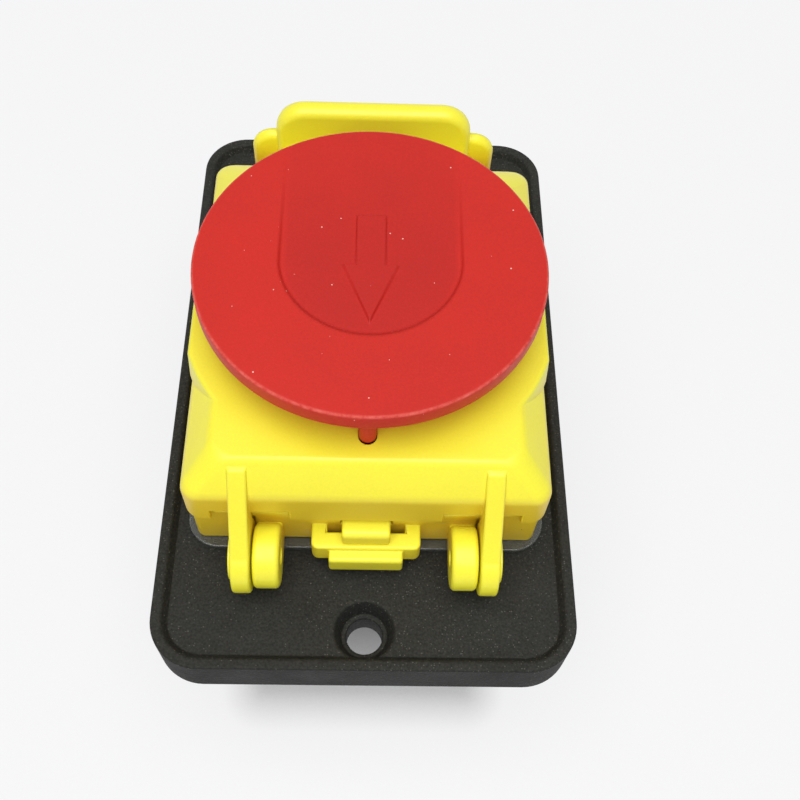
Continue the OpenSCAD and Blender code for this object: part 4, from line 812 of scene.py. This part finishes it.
for node, apart, across, wire, turns, joint in (
        ("stop_spring", 0.0, 14.6, 0.9, 4, "stop_press"), ("off_spring", 0.0, 8.4, 0.9, 5, "off_press"),
        ("on_spring", 0.0, 8.4, 0.9, 5, "on_press"), ("return_springs", 5.0, 4.6, 0.7, 6, "carrier_slide"),
        ("contact_springs", 12.0, 2.4, 0.5, 3, None)):
    low, high = (np.array(c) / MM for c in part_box(node))
    y = (low[1] + high[1]) / 2
    coils = [coil(x, y, low[2], high[2], across, wire, turns) for x in sorted({-apart, apart})]
    spring = stand_for(surface("wound_" + node, coils, spring_wire), "spring_steel", node)
    if joint:
        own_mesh(spring)
    print(node, "free length", round(float(high[2] - low[2]), 1), "mm")

# %% [markdown]
# ## The magnet's winding
#
# Enamelled wire lies in even turns on the bobbin. One closed profile, with a scallop for each turn on its outer
# side, is carried round a rectangle with round corners. A row of rings would show the same, with many more faces.

# %% Winding
WIRE_MM, WINDING_T, CORNER_R, LEAST_R, ROUNDNESS = 0.4, 5.25, 1.6, 0.3, 0.7
SCALLOP_STEPS, CORNER_STEPS = 6, 9


def round_loops(half, inset):
    """For each inset, points round a rectangle that is smaller by it. A corner's centre lies at half - inset - r
    on both axes, and its arc has the radius r, which shrinks with the inset but not below a least one."""
    angle = np.radians(np.linspace(0, 90, CORNER_STEPS)[None, :] + np.arange(4)[:, None] * 90).ravel()
    way = np.stack([np.cos(angle), np.sin(angle)], axis=1)
    quarter = np.repeat(np.array([[1, 1], [-1, 1], [-1, -1], [1, -1]]), CORNER_STEPS, axis=0)
    radius = np.maximum(CORNER_R - inset, LEAST_R)[:, None, None]
    return quarter * (half - inset[:, None, None] - radius) + way * radius


low, high = (np.array(c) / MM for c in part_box("coil_winding"))
rows = int((high[2] - low[2]) / WIRE_MM)
t = np.linspace(0, rows, rows * SCALLOP_STEPS + 1)
dip = (1 - np.abs(np.sin(math.pi * t)) ** ROUNDNESS) * WIRE_MM / 3
inset = np.concatenate([dip, [WINDING_T, WINDING_T]])
height = np.concatenate([low[2] + (high[2] - low[2]) * t / rows, [high[2], low[2]]])
loops = round_loops((high - low)[:2] / 2, inset) + ((low + high) / 2)[:2]
winding = np.concatenate([loops, np.broadcast_to(height[:, None, None], (*loops.shape[:2], 1))], axis=2)
winding_faces = grid_faces(*loops.shape[:2], wrap_rows=True).tolist()
stand_for(surface("wound_coil", [(winding.reshape(-1, 3) * MM, winding_faces)], copper_enamel), "copper_wire",
          "coil_winding")
print("winding of", rows, "rows")

# %% [markdown]
# ## Floor and light
#
# The switch stands on its body on a pale table. Under the plate the table keeps its own shadow. Further out, the
# camera sees it mixed with an even white, so that the background stays pale while the lamps stay at a plain level.
# Rays that are mirrored or pass through clear plastic on their way to the camera see the same white.


# %% Rays that see the background
def seeing(tree):
    """1 for a ray that comes from the camera, from a glossy surface or through a clear one, and 0 for the rest."""
    ray = put(tree, "LightPath").outputs
    return calc(tree, "MAXIMUM", ray["Is Camera Ray"],
                calc(tree, "MAXIMUM", ray["Is Glossy Ray"], ray["Is Transmission Ray"]))


print("background rays ready")

# %% Table
FLOOR_Z, FLOOR_HALF = cad_low[2], 6.0
SHADE_HALF, SHADE_FADE, PALING = (20.0, 49.0), 8.0, 0.8
FAR_FROM, FAR_TO = 40.0, 400.0
floor_x, floor_y = np.meshgrid([-FLOOR_HALF, FLOOR_HALF], [-FLOOR_HALF, FLOOR_HALF])
floor_points = np.stack([floor_x, floor_y, np.full_like(floor_x, FLOOR_Z)], axis=-1).reshape(-1, 3)
table_top = moulding("table_top", linear(250, 250, 251), 0.6, patch=3.0, drift=0.01, grain_scale=600.0, depth=0.01)
tree = table_top.node_tree
away = off_box(tree, put(tree, "TexCoord").outputs["Object"], (SHADE_HALF[0] * MM, SHADE_HALF[1] * MM, 1.0))
paled = calc(tree, "ADD", spread(tree, away, 0.0, SHADE_FADE * MM, 0.0, PALING),
             spread(tree, away, FAR_FROM * MM, FAR_TO * MM, 0.0, 1 - PALING))
seen = calc(tree, "MULTIPLY", seeing(tree), paled)
white = put(tree, "Emission", Color=linear(247, 247, 248), Strength=1.0)
veil = put(tree, "MixShader", Fac=seen)
feed(tree, veil.inputs[1], tree.nodes["Principled BSDF"].outputs[0])
feed(tree, veil.inputs[2], white.outputs[0])
feed(tree, tree.nodes["Material Output"].inputs["Surface"], veil.outputs[0])
surface("table", [(floor_points, grid_faces(2, 2, wrap_columns=False).tolist())], table_top)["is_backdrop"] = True
print("table at", round(FLOOR_Z / MM, 1), "mm")

# %% [markdown]
# One broad soft lamp hangs above, a little in front, and the world gives an even fill. The world looks paler to
# the camera, and in reflections, than the light it sheds, so that gloss and clear parts show a pale room too.

# %% Lamp and world
LAMP_AT, LAMP_AIM, LAMP_SIZE, LAMP_WATTS = Vector((-0.04, -0.28, 0.96)), Vector((0, 0, 0.02)), 1.0, 10.6
FILL, ROOM = 0.22, 0.94
lamp = bpy.data.lights.new("ceiling_panel", "AREA")
lamp.shape, lamp.size, lamp.energy = "SQUARE", LAMP_SIZE, LAMP_WATTS
ceiling_panel = bpy.data.objects.new("ceiling_panel", lamp)
ceiling_panel.rotation_euler = (LAMP_AT - LAMP_AIM).to_track_quat("Z", "Y").to_euler()
ceiling_panel.location = LAMP_AT
bpy.context.scene.collection.objects.link(ceiling_panel)
room = bpy.data.worlds.new("room")
bpy.context.scene.world = room
room.use_nodes = True
tree = room.node_tree
feed(tree, tree.nodes["Background"].inputs["Strength"], spread(tree, seeing(tree), 0.0, 1.0, FILL, ROOM))
feed(tree, tree.nodes["Background"].inputs["Color"], (1.0, 1.0, 1.0, 1.0))
print("lamp of", LAMP_WATTS, "W, fill", FILL)

# %% Measure the visual box
low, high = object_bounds()
print("visual box in mm:", [round(v / MM, 1) for v in high - low])
